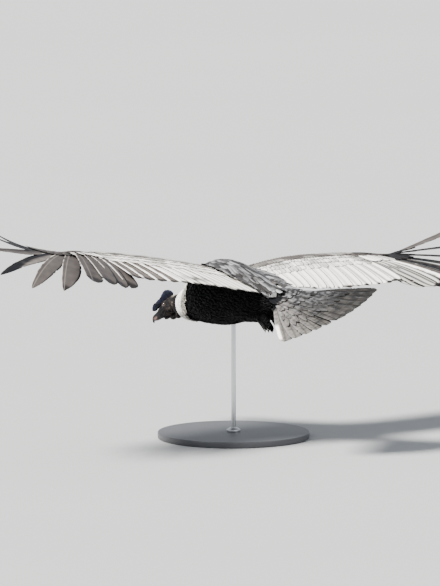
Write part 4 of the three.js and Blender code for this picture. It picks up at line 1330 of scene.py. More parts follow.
@dataclass
class Mantle:
    """Feathers of the back that lie over the body and, further out, over the roots of the wings."""

    rows: tuple[tuple[float, float, int], ...] = (
        (-124, 70, 4), (-100, 84, 5), (-76, 96, 6), (-52, 108, 6), (-28, 120, 7), (-4, 132, 7),
        (20, 142, 7), (44, 150, 7), (70, 152, 6), (96, 148, 5), (122, 142, 5), (150, 134, 4),
        (180, 128, 4), (210, 120, 4), (240, 110, 4), (268, 96, 4), (294, 84, 4), (318, 66, 3))

    def cover(self, wing: Wing, out: Array, aft: Array) -> Array:
        """Height that clears the body, the wing's root and the wing's inner feathers."""
        over_wing = wing.height(out, aft) + 11 - np.maximum(60 - out, 0)
        return np.maximum(TORSO.back(out, aft) + 1 + ease(50, 110, aft) * 7, over_wing)

    def build(self) -> None:
        """Builds both sides as one piece."""
        shell = Shell()
        for wing in (LEFT_WING, RIGHT_WING):
            for k, (aft, length, count) in enumerate(self.rows):
                draw = np.random.default_rng(90 + k + (20 if wing.side > 0 else 0))
                share = (np.arange(count) + 0.5 * (k % 2) * (count > 2)) / max(count - 1, 1)
                out = 4 + (4 + 7.5 * count) * np.minimum(share, 1.05)
                angle = 3 + 14 * share + draw.uniform(-2, 2, count)
                flat = Flat(out, aft + draw.uniform(-6, 6, count), angle,
                            length * draw.uniform(0.88, 1.1, count), 4.0, 0.12,
                            draw.uniform(0.62, 0.8, count))

                def place(x: Array, y: Array, t: Array, wing: Wing = wing) -> Array:
                    """Height from a sunk root up onto the cover, and a little over it at the tip."""
                    root = TORSO.back(x, y) - 3
                    return root + (self.cover(wing, x, y) + 3 * t - root) * ease(0, 0.3, t)

                batch = flat.batch(BACK_VANE, place, wing.side, 95 + k)
                corner = together(0.5 + wing.side * out / 130, 0.1 + (aft + 130) / 420)
                batch.add_to(shell, self.tint(batch, wing.side, draw), corner, seed=96 + k)
        shell.build("back_feathers", GREY_COAT, Slot.BODY)

    @staticmethod
    def tint(batch: Batch, side: int, draw: np.random.Generator) -> Array:
        """Colours of a row: greys of painted sheen from feather to feather, with pale edges, dark shafts
        and roots darkened as painted shade.
        """
        s, t = batch.share(), batch.along()
        one_each = (len(batch.length), 1, 1)
        # Painted sheen: the grey of each feather stands for sunlight glancing off black, stronger towards
        # its outer side.
        sheen = draw.uniform(0.0, 1.0, one_each) * (0.35 + 0.65 * ease(-0.9, 0.9, s))
        edge = ease(0.45, 1.0, np.abs(s)) * 0.5 + ease(0.85, 1.0, t) * 0.3
        tint = mixed(mixed(SLATE * 0.7, MIST, sheen), SAND, edge * draw.uniform(0.1, 0.9, one_each))
        tint = mixed(tint, SOOT, (draw.random(one_each) < 0.35) * 0.85)
        if side > 0:
            spot = np.hypot(batch.middle[..., 1] - 180, batch.middle[..., 0] - 60)
            tint = mixed(tint, SOOT, 0.8 * bump(spot / 34))
        # Painted shade over the roots, where the feathers overlap, and dark shafts.
        return mixed(tint, SOOT, (1 - ease(0.1, 0.5, t)) * 0.8 + 0.5 * bump(batch.offset / 2.2))


# The tail.

RECTRIX = Vane(
    at=(0, 0.08, 0.2, 0.6, 0.9, 0.965, 1),
    outer=(3, 7, 10, 21, 19, 14, 2.5), inner=(3, 9, 13, 36, 35, 26, 3),
    rows=80, across=FINE_ACROSS, thick=0.9, shaft=1.6, shaft_half=2.2, crown=0.05, splits=6)
TAIL_COVERT = Vane(
    at=(0, 0.2, 0.5, 0.86, 0.96, 1), outer=(3, 11, 15, 12, 7, 1), rows=24,
    across=COVERT_ACROSS, thick=0.7, shaft=0.8, shaft_half=1.6, crown=0.1, splits=4)


@dataclass
class Tail:
    """The fan of the tail, rolled so that its left side hangs lower, and its coverts."""

    root: tuple[float, float, float] = (0, 362, -4)
    roll: float = math.radians(28)
    droop: float = math.radians(-4)
    spread: float = 31.0
    half_root: float = 30.0
    count: int = 12
    tilt: float = 0.14
    core: tuple[tuple[float, ...], ...] = (
        (-45, -8, 44, 34), (0, -4, 42, 28), (45, -2, 44, 14), (90, 0, 46, 4))

    @property
    def matrix(self) -> Array:
        """The turn from the tail's frame to the bird's."""
        return turned(Y, self.roll) @ turned(X, self.droop)

    def place(self, points: Array) -> Array:
        """Points of the tail's own frame, drooped, rolled and set on the rump."""
        return points @ self.matrix.T + self.root

    def moved(self, batch: Batch) -> Batch:
        """The same feathers, carried from the tail's frame to the bird's."""
        batch.middle = self.place(batch.middle)
        batch.normal = batch.normal @ self.matrix.T
        return batch

    def build_flight(self) -> None:
        """Builds the twelve feathers of the fan, with white on the outermost of the left side as a painted
        highlight of its sunlit edge.
        """
        shell = Shell()
        edge = (2 * np.arange(self.count // 2) + 1) / (self.count - 1)
        for k, side in enumerate((1, -1)):
            flat = Flat(edge * self.half_root, np.zeros(len(edge)), self.spread * edge, 397 - 15 * edge,
                        0.0, self.tilt)

            def place(out: Array, aft: Array, t: Array, side: int = side) -> Array:
                """Height in the fan: falling to the edge, with the left half laid over the right."""
                return (1.6 * (side > 0) - 7 * each(edge)) * t

            batch = flat.batch(RECTRIX, place, side, 101)
            s, t = batch.share(), batch.along()
            # Painted highlight: a white stripe on the outermost left feather for its sunlit edge.
            white = ease(0.2, 0.5, s) * (1 - ease(0.9, 0.97, t)) * ease(0.55, 0.65, t)
            last = each(edge == edge[-1]) * (side > 0)
            tint = mixed(self.fan_tint(batch, side, edge), CHALK, last * white)
            batch = self.moved(batch)
            batch.add_to(shell, self.vented(batch, tint), None, (0.5 * k, 0.5), 103 + side)
        shell.build("tail_flight", FLIGHT_COAT, Slot.FLIGHT, ["tail"])

    @staticmethod
    def fan_tint(batch: Batch, side: int, edge: Array) -> Array:
        """Colours of the fan: greys of painted sheen over its black, paler and brighter on the left as
        painted sunlight, darker on the right, barred on the left and streaked all over.

        Args:
            batch: Feathers of the fan, or the coverts on it.
            side: 1 on the left, -1 on the right.
            edge: How near each lies to the fan's edge, from 0 in the middle to 1.

        Returns:
            Colours of the points.
        """
        s, t = batch.share(), batch.along()
        # Painted light: the rolled fan's left half is paler and brighter, as if sunlit, and its right half
        # darker.
        if side > 0:
            pale, bar, light = 0.42 + 0.4 * ease(0.1, 0.6, edge), 0.3, 0.34 + 0.38 * ease(0.15, 0.8, edge)
        else:
            pale, bar, light = 0.3 - 0.22 * edge, 0.12, 0.36 - 0.14 * edge
        bars = ripple(batch.middle * [1, 2.6, 1], 17.0, 103) * bar
        swell = ripple(batch.middle * [2.2, 0.7, 1], 24.0, 102) * 0.2
        tint = mixed(SLATE * 0.55, mixed(SILVER, SAND, 0.5 + swell), (each(pale) + bars + swell).clip(0, 1))
        tint = mixed(tint, MIST, 0.45 * ease(0.5, 1.0, s) * (each(pale) + 2 * swell).clip(0, 1))
        tint = mixed(tint, SOOT, 0.55 * bump((s + 0.12) / 0.1) + 0.4 * ease(0.97, 1.0, t))
        return tint * each(light)[..., None]

    def tier(self, count: int, aft: float, length: float, spread: float, lift: tuple[float, float],
             width: float, seed: int) -> list[Batch]:
        """One tier of coverts, on both sides of the middle.

        Args:
            count: How many on a side.
            aft: Where their roots lie.
            length: Their length.
            spread: Heading of the outermost, in degrees.
            lift: Height at the root and at the tip.
            width: Width, as a share of the kind's.
            seed: Seed of the differences.

        Returns:
            A batch for each side.
        """
        batches = []
        share = (np.arange(count) + 0.5) / count
        for side in (1, -1):
            draw = np.random.default_rng(seed + side)
            flat = Flat(share * self.half_root * 0.85, aft + draw.uniform(-5, 5, count),
                        spread * share + draw.uniform(-2, 2, count),
                        length * draw.uniform(0.93, 1.07, count), 0.0, self.tilt * np.sign(lift[1]),
                        width * draw.uniform(0.9, 1.1, count))

            def place(x: Array, y: Array, t: Array, side: int = side) -> Array:
                """Height rising from the root onto the fan."""
                return rising(*lift, t) + 1.6 * (side > 0) * t

            batch = flat.batch(TAIL_COVERT, place, side, seed)
            # The coverts take the fan's colours, painted sheen and all.
            batch.tint = self.fan_tint(batch, side, share)
            batches.append(self.moved(batch))
        return batches

    def build_coverts(self) -> None:
        """Builds the coverts above and below the fan as one piece."""
        shell = Shell()
        above = [(8, 44, 236, 32, (1.5, 2.5), 0.8, 110), (8, 20, 196, 31, (4, 5), 0.75, 112),
                 (7, -8, 150, 28, (8, 9), 0.75, 114), (6, -36, 110, 25, (12.5, 13.5), 0.75, 116)]
        below = [(4, 22, 160, 20, (-8, -16), 1.2, 120), (4, -6, 140, 19, (-14, -22), 1.2, 122),
                 (4, -30, 110, 18, (-22, -28), 1.2, 124)]
        for k, tier in enumerate(above + below):
            under = k >= len(above)
            for batch in self.tier(*tier):
                mottle = ripple(batch.middle, 16.0, 130 + k)
                own = np.random.default_rng(131 + k).uniform(0.1, 0.8, (len(batch.length), 1, 1))
                tint = mixed(batch.tint, SOOT, ease(0.1, 0.9, mottle) * (0.25 + 0.15 * k))
                tint = mixed(tint, MIST, ease(0.4, -0.9, mottle) * (0.1 + 0.15 * k) * own)
                root = batch.middle[:, 0, 3]
                corner = together(0.5 + root[:, 0] / 90, 0.1 + 0.4 * under + (root[:, 1] - 300) / 260)
                tint = mixed(BLACK, SOOT, own) if under else tint
                batch.add_to(shell, self.vented(batch, tint), corner, seed=140 + k)
        shell.build("tail_coverts", GREY_COAT, Slot.FLIGHT)

    @staticmethod
    def vented(batch: Batch, tint: Array) -> Array:
        """Colours with black laid over the root of the fan on the left, where the flank ends."""
        out, aft = batch.middle[..., 0], batch.middle[..., 1]
        return mixed(tint, BLACK, (1 - ease(50, 66, aft - 362 + 0.4 * (30 - out))) * ease(8, 20, out))


# The head.


@dataclass(frozen=True)
class HeadFrame:
    """Where the head sits: turned to the left and bent down.

    In the head's own frame x is to its left, -y ahead and z up.
    """

    place: tuple[float, float, float] = (15, -318, -131)
    turn: float = math.radians(25)
    down: float = math.radians(38)

    @property
    def matrix(self) -> Array:
        """The turn from the head's frame to the bird's."""
        return turned(Z, self.turn) @ turned(X, self.down)

    def out_of(self, points: Array) -> Array:
        """Points of the head's frame, in the bird's."""
        return points @ self.matrix.T + self.place

    def into(self, points: Array) -> Array:
        """Points of the bird's frame, in the head's."""
        return (points - self.place) @ self.matrix


HEAD = HeadFrame()
SKULL_AHEAD = (61, 46, 28, 8, -14, -32)
SKULL_WIDTH = (14.5, 20, 28.5, 33.5, 33.5, 30)
SKULL_TOP = (16.5, 22, 28.5, 32.5, 32.5, 29)
SKULL_BOTTOM = (-21.5, -25, -31, -34, -34, -33)
NECK_RINGS = (((7, -272, -118), 39, 40), ((2, -245, -113), 44, 44), ((0, -212, -108), 47, 47))
EYE_PLACE = (23.5, -17.0, 14.0)
EYE_RADIUS = 8.5
# Bells on both sides of the face: height, place ahead and up, half length, half width and lean.
FACE_BELLS = (
    (-3.2, 17, 14, 10.5, 9, 0), (2.6, 18, 24.5, 15, 3.4, -0.2), (1.6, 18, 3.5, 13, 3.2, 0.1),
    (2.4, 2, -12, 15, 6, 0.5), (2.2, -14, 6, 7, 14, 0), (-2.8, -17, 2, 3.4, 4.4, 0),
    (1.4, -17, 2, 7, 8, 0), (-1.8, 32, -11, 16, 1.5, -0.32), (1.7, 34, -16, 15, 3.2, -0.3),
    (1.5, 38, -5, 12, 3, -0.2))
# The folds under the throat: radius, stretch along the head's axes, and place.
THROAT_FOLDS = ((9.5, (1.1, 1.7, 0.75), (0, -38, -28)), (12.5, (1.1, 1.25, 0.95), (0, -15, -39)),
                (13.5, (1.2, 1.15, 1.05), (0, 6, -44)))


@dataclass
class Skin:
    """One skin over the head, the neck and the trunk, with the arms, the tail's root, the eyelids and the
    folds under the throat.

    The axis runs from the root of the bill to the rump. Every section is an ellipse given by its
    centre and by two half axes, and all three follow smooth curves along the axis.
    """

    depth: float = 7.0
    columns: int = 200

    def stations(self) -> tuple[Array, Array, Array, Array]:
        """Sections of the axis, from the head over the neck to the trunk.

        Returns:
            Places along the axis, centres, half axes to the left and half axes upwards.
        """
        rows = []
        trunk = zip(TORSO.aft[1:], TORSO.middle[1:], TORSO.half_width[1:], TORSO.half_height[1:])
        for ahead, width, top, bottom in zip(SKULL_AHEAD, SKULL_WIDTH, SKULL_TOP, SKULL_BOTTOM):
            rows.append((HEAD.out_of(np.array([0, -ahead, (top + bottom) / 2])),
                         HEAD.matrix @ [width, 0, 0], HEAD.matrix @ [0, 0, (top - bottom) / 2]))
        for place, width, height in NECK_RINGS:
            rows.append((place, (width, 0, 0), (0, height * 0.17, height)))
        for aft, middle, width, height in trunk:
            rows.append(((0, aft, middle), (width - self.depth, 0, 0), (0, 0, height - self.depth)))
        centres, lefts, ups = np.array(rows, float).swapaxes(0, 1)
        gaps = np.linalg.norm(np.diff(centres, axis=0), axis=1)
        return np.concatenate([[0], np.cumsum(gaps)]), centres, lefts, ups

    def axis(self, along: Array, turn: Array) -> Array:
        """Place on the skin before its folds.

        Centre plus cosine of the turn times the left half axis plus sine of it times the upper
        one, with the sections of the head drawn in a little towards the crown.

        Args:
            along: Way along the axis from the bill, in millimetres.
            turn: Way around, from the left over the top.

        Returns:
            The place.
        """
        stations, *curves = self.stations()
        centre, left, up = (spline(stations, curve, along) for curve in curves)
        draw_in = 1 - 0.13 * (1 - ease(70, 130, along)) * np.sin(turn)
        return centre + left * (np.cos(turn) * draw_in)[..., None] + up * np.sin(turn)[..., None]

    def folds(self, points: Array, turn: Array, along: Array) -> Array:
        """How far the bare skin stands off, in millimetres.

        Bells for the brow, the socket, the cheek, the ear and the jaw, then ridges of skin across
        the cheek and around the neck: one less the size of a swell, sharpened.

        Args:
            points: Places before the folds, in the bird's frame.
            turn: Way around at each.
            along: Way along the axis at each.

        Returns:
            The height of the folds.
        """
        local = HEAD.into(points)
        ahead, up = -local[..., 1], local[..., 2]
        sides = ease(0.25, 0.6, np.abs(np.cos(turn)))
        bare = 1 - ease(105, 130, along)
        height = np.zeros(along.shape)
        for high, a, h, long, wide, lean in FACE_BELLS:
            da, dh = ahead - a, up - h
            along_it = da * math.cos(lean) + dh * math.sin(lean)
            across_it = dh * math.cos(lean) - da * math.sin(lean)
            height += high * bump(np.hypot(along_it / long, across_it / wide)) * sides
        loose = ease(0.2, 0.8, 1 - ease(-20, 40, ahead)) * bare
        warp = ripple(points, 26.0, 201) * 5 + ripple(points, 11.0, 202) * 1.8
        bands = np.abs(np.sin((along + warp) / 8.5 * np.pi / 2))
        height += loose * (1.9 * (1 - bands**0.6) - 0.5)
        wrinkles = 1 - np.abs(ripple(points, 7.0, 203)) ** 0.7
        height += bare * ((0.7 + 0.5 * loose) * (wrinkles - 0.4) + 0.35 * ripple(points, 2.6, 204))
        throat = 1 - ease(-0.85, -0.35, np.sin(turn))
        folds = np.abs(np.sin(turn * 9 + ripple(points, 20.0, 205)))
        height += throat * bare * ease(30, 60, along) * 2.2 * (0.6 - folds)
        return height * ease(0, 6, along)

    def colours(self, points: Array, along: Array, height: Array) -> Array:
        """Colour of the skin: dark on the face, brown and mottled on the cheek, black below the coat.

        Args:
            points: Places on the skin.
            along: Way along the axis.
            height: Height of the folds, whose ridges are painted paler, as light on raised skin.

        Returns:
            Linear colours.
        """
        local = HEAD.into(points)
        ahead, up = -local[..., 1], local[..., 2]

        def spot(a: float, h: float, long: float, high: float) -> Array:
            """Bell at a place ahead and up, with two half lengths."""
            return bump(np.hypot((ahead - a) / long, (up - h) / high))

        pale = srgb(104, 97, 88)
        mottle = ripple(points, 13.0, 211)
        cheek = spot(-2, -22, 30, 13)
        colour = mixed(srgb(12, 11, 13), srgb(44, 37, 32), (cheek * (0.55 + 0.5 * mottle)).clip(0, 1))
        # Painted highlights: a thin pale line on top of the head under the back of the comb, and a short
        # one on the brow over the eye; then two pale spots behind the head.
        marks = 0.8 * spot(-8, 34, 18, 2.6) + 0.35 * spot(20, 25, 10, 2)
        marks = marks + 0.9 * (spot(-22, 1, 3, 2.6) + spot(-17, -7, 2.4, 2.6))
        colour = mixed(colour, pale, marks.clip(0, 0.9))
        # Painted light: the ridges of the folds are paler, which leaves the creases darker.
        colour = mixed(colour, pale, ease(0.7, 2.6, height) * (0.1 + 0.12 * cheek))
        nape = ease(18, 30, up) * ease(-14, -30, ahead) * (1 - ease(-52, -70, ahead))
        colour = mixed(colour, srgb(150, 145, 138), nape * (0.55 + 0.4 * mottle).clip(0, 1))
        return mixed(colour, BLACK, ease(112, 135, along))

    def build(self) -> None:
        """Builds the skin as one piece."""
        shell = Shell()
        end = self.stations()[0][-1]
        rows = np.concatenate([np.linspace(0, 125, 118), np.linspace(125, end + 14, 76)[1:]])
        along, around = np.meshgrid(rows, ring(self.columns), indexing="ij")
        points = self.axis(along, around)
        normal = unit(np.cross(np.gradient(points, axis=1), np.gradient(points, axis=0)))
        outward = np.median(np.sign((normal * (points - points.mean(1, keepdims=True))).sum(-1)))
        height = self.folds(points, around, along)
        placed = points + normal * outward * height[..., None]
        shell.add_rings(placed, self.colours(points, along, height), together(around * 40, along, 0),
                        (0.01, 0.02, 0.6, 0.96), outward < 0)
        for k, wing in enumerate((LEFT_WING, RIGHT_WING)):
            self.add_arm(shell, wing, (0.64 + 0.18 * k, 0.02, 0.16, 0.5))
            self.add_lids(shell, wing.side, (0.64 + 0.18 * k, 0.78, 0.16, 0.18))
        self.add_tail_root(shell, (0.64, 0.55, 0.16, 0.2))
        self.add_wattles(shell, (0.82, 0.55, 0.16, 0.2))
        shell.build("skin", BARE_SKIN, Slot.SKIN, ["torso", "neck", "head", "wattle"])

    def add_arm(self, shell: Shell, wing: Wing, box: Sequence[float]) -> None:
        """Adds the arm's skin: its section drawn in towards its middle by three tenths."""
        out, around = np.meshgrid(np.linspace(58, 800, 70), np.linspace(-1, 1, 28), indexing="ij")
        points = wing.arm(around, out)
        centre = points.mean(1, keepdims=True)
        shell.add_rings(centre + (points - centre) * 0.7, wing.arm_tint(around, out),
                        together(around * 60, out, 0), box, wing.side > 0)

    def add_tail_root(self, shell: Shell, box: Sequence[float]) -> None:
        """Adds the fleshy root of the tail: ellipses that flatten towards the fan."""
        tail = Tail()
        station, *curves = np.array(tail.core, float).T
        aft = np.linspace(-45, 88, 24)[:, None]
        middle, width, height = (spline(station, curve, aft) for curve in curves)
        turn = ring(40)
        points = together((width - 4) * np.cos(turn), aft, middle + (height - 2) * np.sin(turn))
        shell.add_rings(tail.place(points), BLACK, box=box)

    def add_lids(self, shell: Shell, side: int, box: Sequence[float]) -> None:
        """Adds the lids of one eye: rings from the skin in to the almond between the lids.

        On the eyeball, a ring's angle from the middle of the eye falls from the skin to the
        almond's edge, which is wider along than across. The rings stand off the ball by a wall
        of skin with three fine creases.
        """
        share = np.linspace(0, 1, 16)[:, None]
        turn = ring(56)[None]
        almond = np.hypot(np.cos(turn) / 0.86, np.sin(turn) / 0.6) ** -1
        angle = 1.5 * (1 - share) + np.arcsin(np.clip(almond, 0, 0.99)) * share
        crease = 0.3 * np.sin(share * 3 * WHOLE_TURN) * (1 - share)
        lip = 0.5 * bump((share - 0.9) / 0.08)
        radius = EYE_RADIUS + 0.5 + 1.8 * (1 - share) + crease + lip - 1.2 * ease(0.94, 1.0, share)
        flat = together(np.sin(angle) * np.cos(turn), np.sin(angle) * np.sin(turn), np.cos(angle))
        outwards = np.roll(flat @ turned(Z, -0.18).T, 1, axis=-1)
        local = (outwards * radius[..., None] + EYE_PLACE) * [side, 1, 1]
        # Painted highlights: paler towards the lid's rim and on the crests of its creases.
        pale = ease(0.82, 0.95, share) * 0.35 + 0.25 * ease(0.1, 0.3, crease)
        tint = mixed(srgb(17, 16, 17), srgb(110, 98, 86), np.broadcast_to(pale, angle.shape))
        shell.add_rings(HEAD.out_of(local), tint, box=box, flip=side > 0, ends=False)

    def add_wattles(self, shell: Shell, box: Sequence[float]) -> None:
        """Adds the loose folds that hang under the throat: balls pressed flat and creased."""
        up = np.linspace(-np.pi / 2 + 0.04, np.pi / 2 - 0.04, 40)[:, None]
        turn = ring(56)
        ball = together(np.cos(up) * np.cos(turn), np.cos(up) * np.sin(turn), np.sin(up))
        for k, (radius, stretch, place) in enumerate(THROAT_FOLDS):
            local = ball * radius * stretch
            swell = 0.9 * (0.5 - np.abs(ripple(local, 7.0, 220 + k))) + 0.3 * ripple(local, 2.4, 223)
            # Painted light: the swellings of the folds are paler and the creases between them darker.
            tint = mixed(srgb(16, 15, 17), srgb(44, 38, 35), ease(-0.2, 0.8, swell))
            part = (box[0] + box[2] * k / 3, box[1], box[2] / 3 * 0.96, box[3])
            points = HEAD.out_of(local + ball * swell[..., None] + place)
            shell.add_rings(points, tint, box=part, flip=False)


@dataclass
class Comb:
    """The fleshy ridge of lobes from the bill back over the crown."""

    ahead: tuple[float, ...] = (-27, -22, -9, 6, 22, 42, 62, 76, 84)
    top: tuple[float, ...] = (45, 55, 65, 65, 57, 49, 46, 42, 33)
    bottom: tuple[float, ...] = (34, 29, 27, 27, 26, 23, 19, 16, 21)
    half_width: tuple[float, ...] = (4, 8, 11, 10, 9, 9, 9, 8, 4)

    def build(self) -> None:
        """Builds the comb: ellipses along it, with lobes, creases and fine wrinkles."""
        share = np.linspace(0, np.pi, 120)
        grid, around = np.meshgrid(-28.5 + 57 * (1 - np.cos(share)), ring(96), indexing="ij")
        close = np.sqrt(np.clip(np.sin(share), 0.02, 1))[:, None] ** 0.5
        top, bottom, width = (spline(self.ahead, values, grid)
                              for values in (self.top, self.bottom, self.half_width))
        waist = 1 + 0.16 * np.sin(around) - 0.1 * bump((np.sin(around) + 0.35) / 0.3)
        up = (top + bottom) / 2 + (top - bottom) / 2 * close * np.sin(around)
        local = together(width.clip(2) * close * waist * np.cos(around), -grid, up)
        normal = unit(np.cross(np.gradient(local, axis=1), np.gradient(local, axis=0)))
        normal = normal * np.sign((normal[60] * (local[60] - local[60].mean(0))).sum())
        lobes = 0.9 * np.sin(grid / 5.2 + 1.4 * ripple(local, 18.0, 231)) * ease(-0.2, 0.8, np.sin(around))
        ridges = 1.1 * (0.5 - np.abs(ripple(local * [1, 1, 0.5], 7.5, 232))) + 0.3 * ripple(local, 2.6, 233)
        height = (lobes + ridges) * close
        # Dark blue-black: partly the comb's own dark colour and partly painted shade. Painted light makes
        # the raised lobes and ridges paler and the creases darker.
        tint = mixed(srgb(9, 12, 24), srgb(19, 25, 44), ease(-0.6, 1.2, height))
        tint = mixed(tint, srgb(24, 20, 24), 0.45 * (1 - ease(-0.9, -0.3, np.sin(around))))
        shell = Shell()
        points = HEAD.out_of(local + normal * height[..., None])
        shell.add_rings(points, tint, together(around * 10, grid, 0))
        shell.build("comb_flesh", COMB_HIDE, Slot.COMB, ["comb"])


@dataclass
class Bill:
    """The hooked upper half and the lower half.

    Each section runs from a point on the ridge to one on the cutting edge, both given ahead and
    up, so that the sections lean over in the hook.
    """

    ridge: tuple[tuple[float, float], ...] = (
        (56, 15), (64, 12.5), (73, 10.5), (82, 9.5), (90, 8), (97, 4), (102.5, -2), (105.6, -9),
        (106, -15), (104.6, -19.2))
    edge: tuple[tuple[float, float], ...] = (
        (56, -8.5), (64, -9.5), (73, -10.2), (81, -11.2), (88, -12.6), (93, -11.8), (97, -11.6),
        (100.4, -13.2), (102.8, -16.4), (104.2, -19))
    half_width: tuple[float, ...] = (14.2, 13.4, 12.2, 11.2, 9.8, 8.2, 6.6, 4.8, 2.8, 0.7)
    nostril: tuple[float, float] = (68, 1.5)

    def build(self) -> None:
        """Builds both halves."""
        self.build_upper()
        self.build_lower()

    def build_upper(self) -> None:
        """Builds the upper half.

        Around a section, the upper half turn runs from one cutting edge over the ridge to the
        other and the lower half turn is a shallow palate.
        """
        share = np.linspace(0, 1, 110)
        stations = np.linspace(0, 1, len(self.ridge))
        ridge, edge, width = (spline(stations, values, share)[:, None]
                              for values in (self.ridge, self.edge, self.half_width))
        share = share[:, None]
        turn = ring(72)[None]
        cos, sin = np.cos(turn), np.sin(turn)
        lifted = np.where(sin > 0, np.abs(sin) ** 0.92, -0.1 * np.abs(sin))
        spot = edge + (ridge - edge) * lifted[..., None]
        tooth = 0.9 * bump((share - 0.36) / 0.05) - 0.7 * bump((share - 0.5) / 0.05)
        spot[..., 1] -= tooth * bump(sin / 0.3)
        ahead, up = spot[..., 0], spot[..., 1]
        nostril, rim = (bump(np.hypot((ahead - self.nostril[0]) / long, (up - self.nostril[1]) / high))
                        * (np.abs(cos) > 0.3) for long, high in ((4.6, 2.1), (7, 4)))
        cere = 0.8 * (1 - ease(74, 78, ahead))
        inward = (3.4 * nostril - 0.9 * rim - cere) * np.abs(cos)
        side = np.sign(cos) * (width.clip(0.5) * np.abs(cos) ** 0.82 - inward)
        local = together(side, -ahead, up + cere * np.clip(sin, 0, 1))
        # The hooked tip is painted dark as shade, though its horn is ivory; the ivory shows as a spot by
        # the cutting edge and a faint one on the hook.
        ivory = bump(np.hypot((ahead - 84) / 7, (up + 8) / 4.5))
        ivory = ivory + 0.1 * bump(np.hypot((ahead - 97) / 6, (up + 2) / 7))
        ivory = (ivory * (0.85 + 0.3 * ripple(local, 9.0, 241))).clip(0, 1)
        tint = mixed(srgb(14, 14, 17), srgb(150, 122, 114), ivory * (1 - 0.5 * ease(0.8, 1.0, sin)))
        shell = Shell()
        shell.add_rings(HEAD.out_of(local), mixed(tint, srgb(8, 7, 8), nostril),
                        together(turn * 8, share * 70, 0))
        shell.build("bill_upper_horn", BILL_HORN, Slot.HORN, ["bill_upper"])

    def build_lower(self) -> None:
        """Builds the lower half: a trough whose top tucks in under the upper cutting edge."""
        ahead = np.linspace(56, 93, 60)[:, None]
        turn = ring(56)[None]
        cos, sin = np.cos(turn), np.sin(turn)
        top, low, width = (spline((56, 66, 76, 86, 93), values, ahead) for values in (
            (-8.2, -9.2, -10, -11.2, -13.2), (-20.6, -20.4, -19.6, -17.6, -14.6),
            (12.4, 11, 9.6, 7.2, 2.4)))
        lifted = np.where(sin > 0, 0.12 * sin, sin)
        local = together(width * np.sign(cos) * np.abs(cos) ** 0.85, -ahead, top + (top - low) * lifted)
        ivory = np.broadcast_to(0.8 * ease(74, 88, ahead), local.shape[:2])
        shell = Shell()
        shell.add_rings(HEAD.out_of(local), mixed(srgb(20, 20, 24), srgb(120, 100, 95), ivory),
                        together(turn * 8, ahead, 0))
        shell.build("bill_lower_horn", BILL_HORN, Slot.HORN, ["bill_lower"])


@dataclass
class Eye:
    """One eye: a ball with a slightly bulging cornea, a brown iris and a round pupil."""

    side: int

    def build(self) -> None:
        """Builds the ball from its outer pole, whose polar angle gives iris and pupil."""
        polar = np.linspace(0.02, np.pi - 0.02, 48)[:, None]
        turn = ring(64)[None]
        radius = EYE_RADIUS * (1 + 0.05 * bump(polar / 0.5))
        local = together(np.cos(polar), np.sin(polar) * np.cos(turn), np.sin(polar) * np.sin(turn))
        local = (local * radius[..., None] + EYE_PLACE) * [self.side, 1, 1]
        iris, white = (np.broadcast_to(share, local.shape[:2]) for share in (
            ease(0.3, 0.34, polar) * (1 - ease(0.66, 0.74, polar)), ease(0.7, 0.8, polar)))
        tint = mixed(mixed(srgb(6, 5, 6), srgb(62, 40, 28), iris), srgb(40, 30, 28), white)
        shell = Shell()
        shell.add_rings(HEAD.out_of(local), tint, together(turn * 9, polar * 3, 0), flip=self.side < 0)
        name = side_name(self.side)
        shell.build(f"eye_{name}_ball", EyeGloss(), Slot.EYE, [f"eye_{name}"])


# The ruff.

DOWN_VANE = Vane(at=(0, 0.35, 0.75, 1), outer=(1.2, 2.6, 2.2, 0.4), thick=1.4, shaft=0.0, crown=0.3)


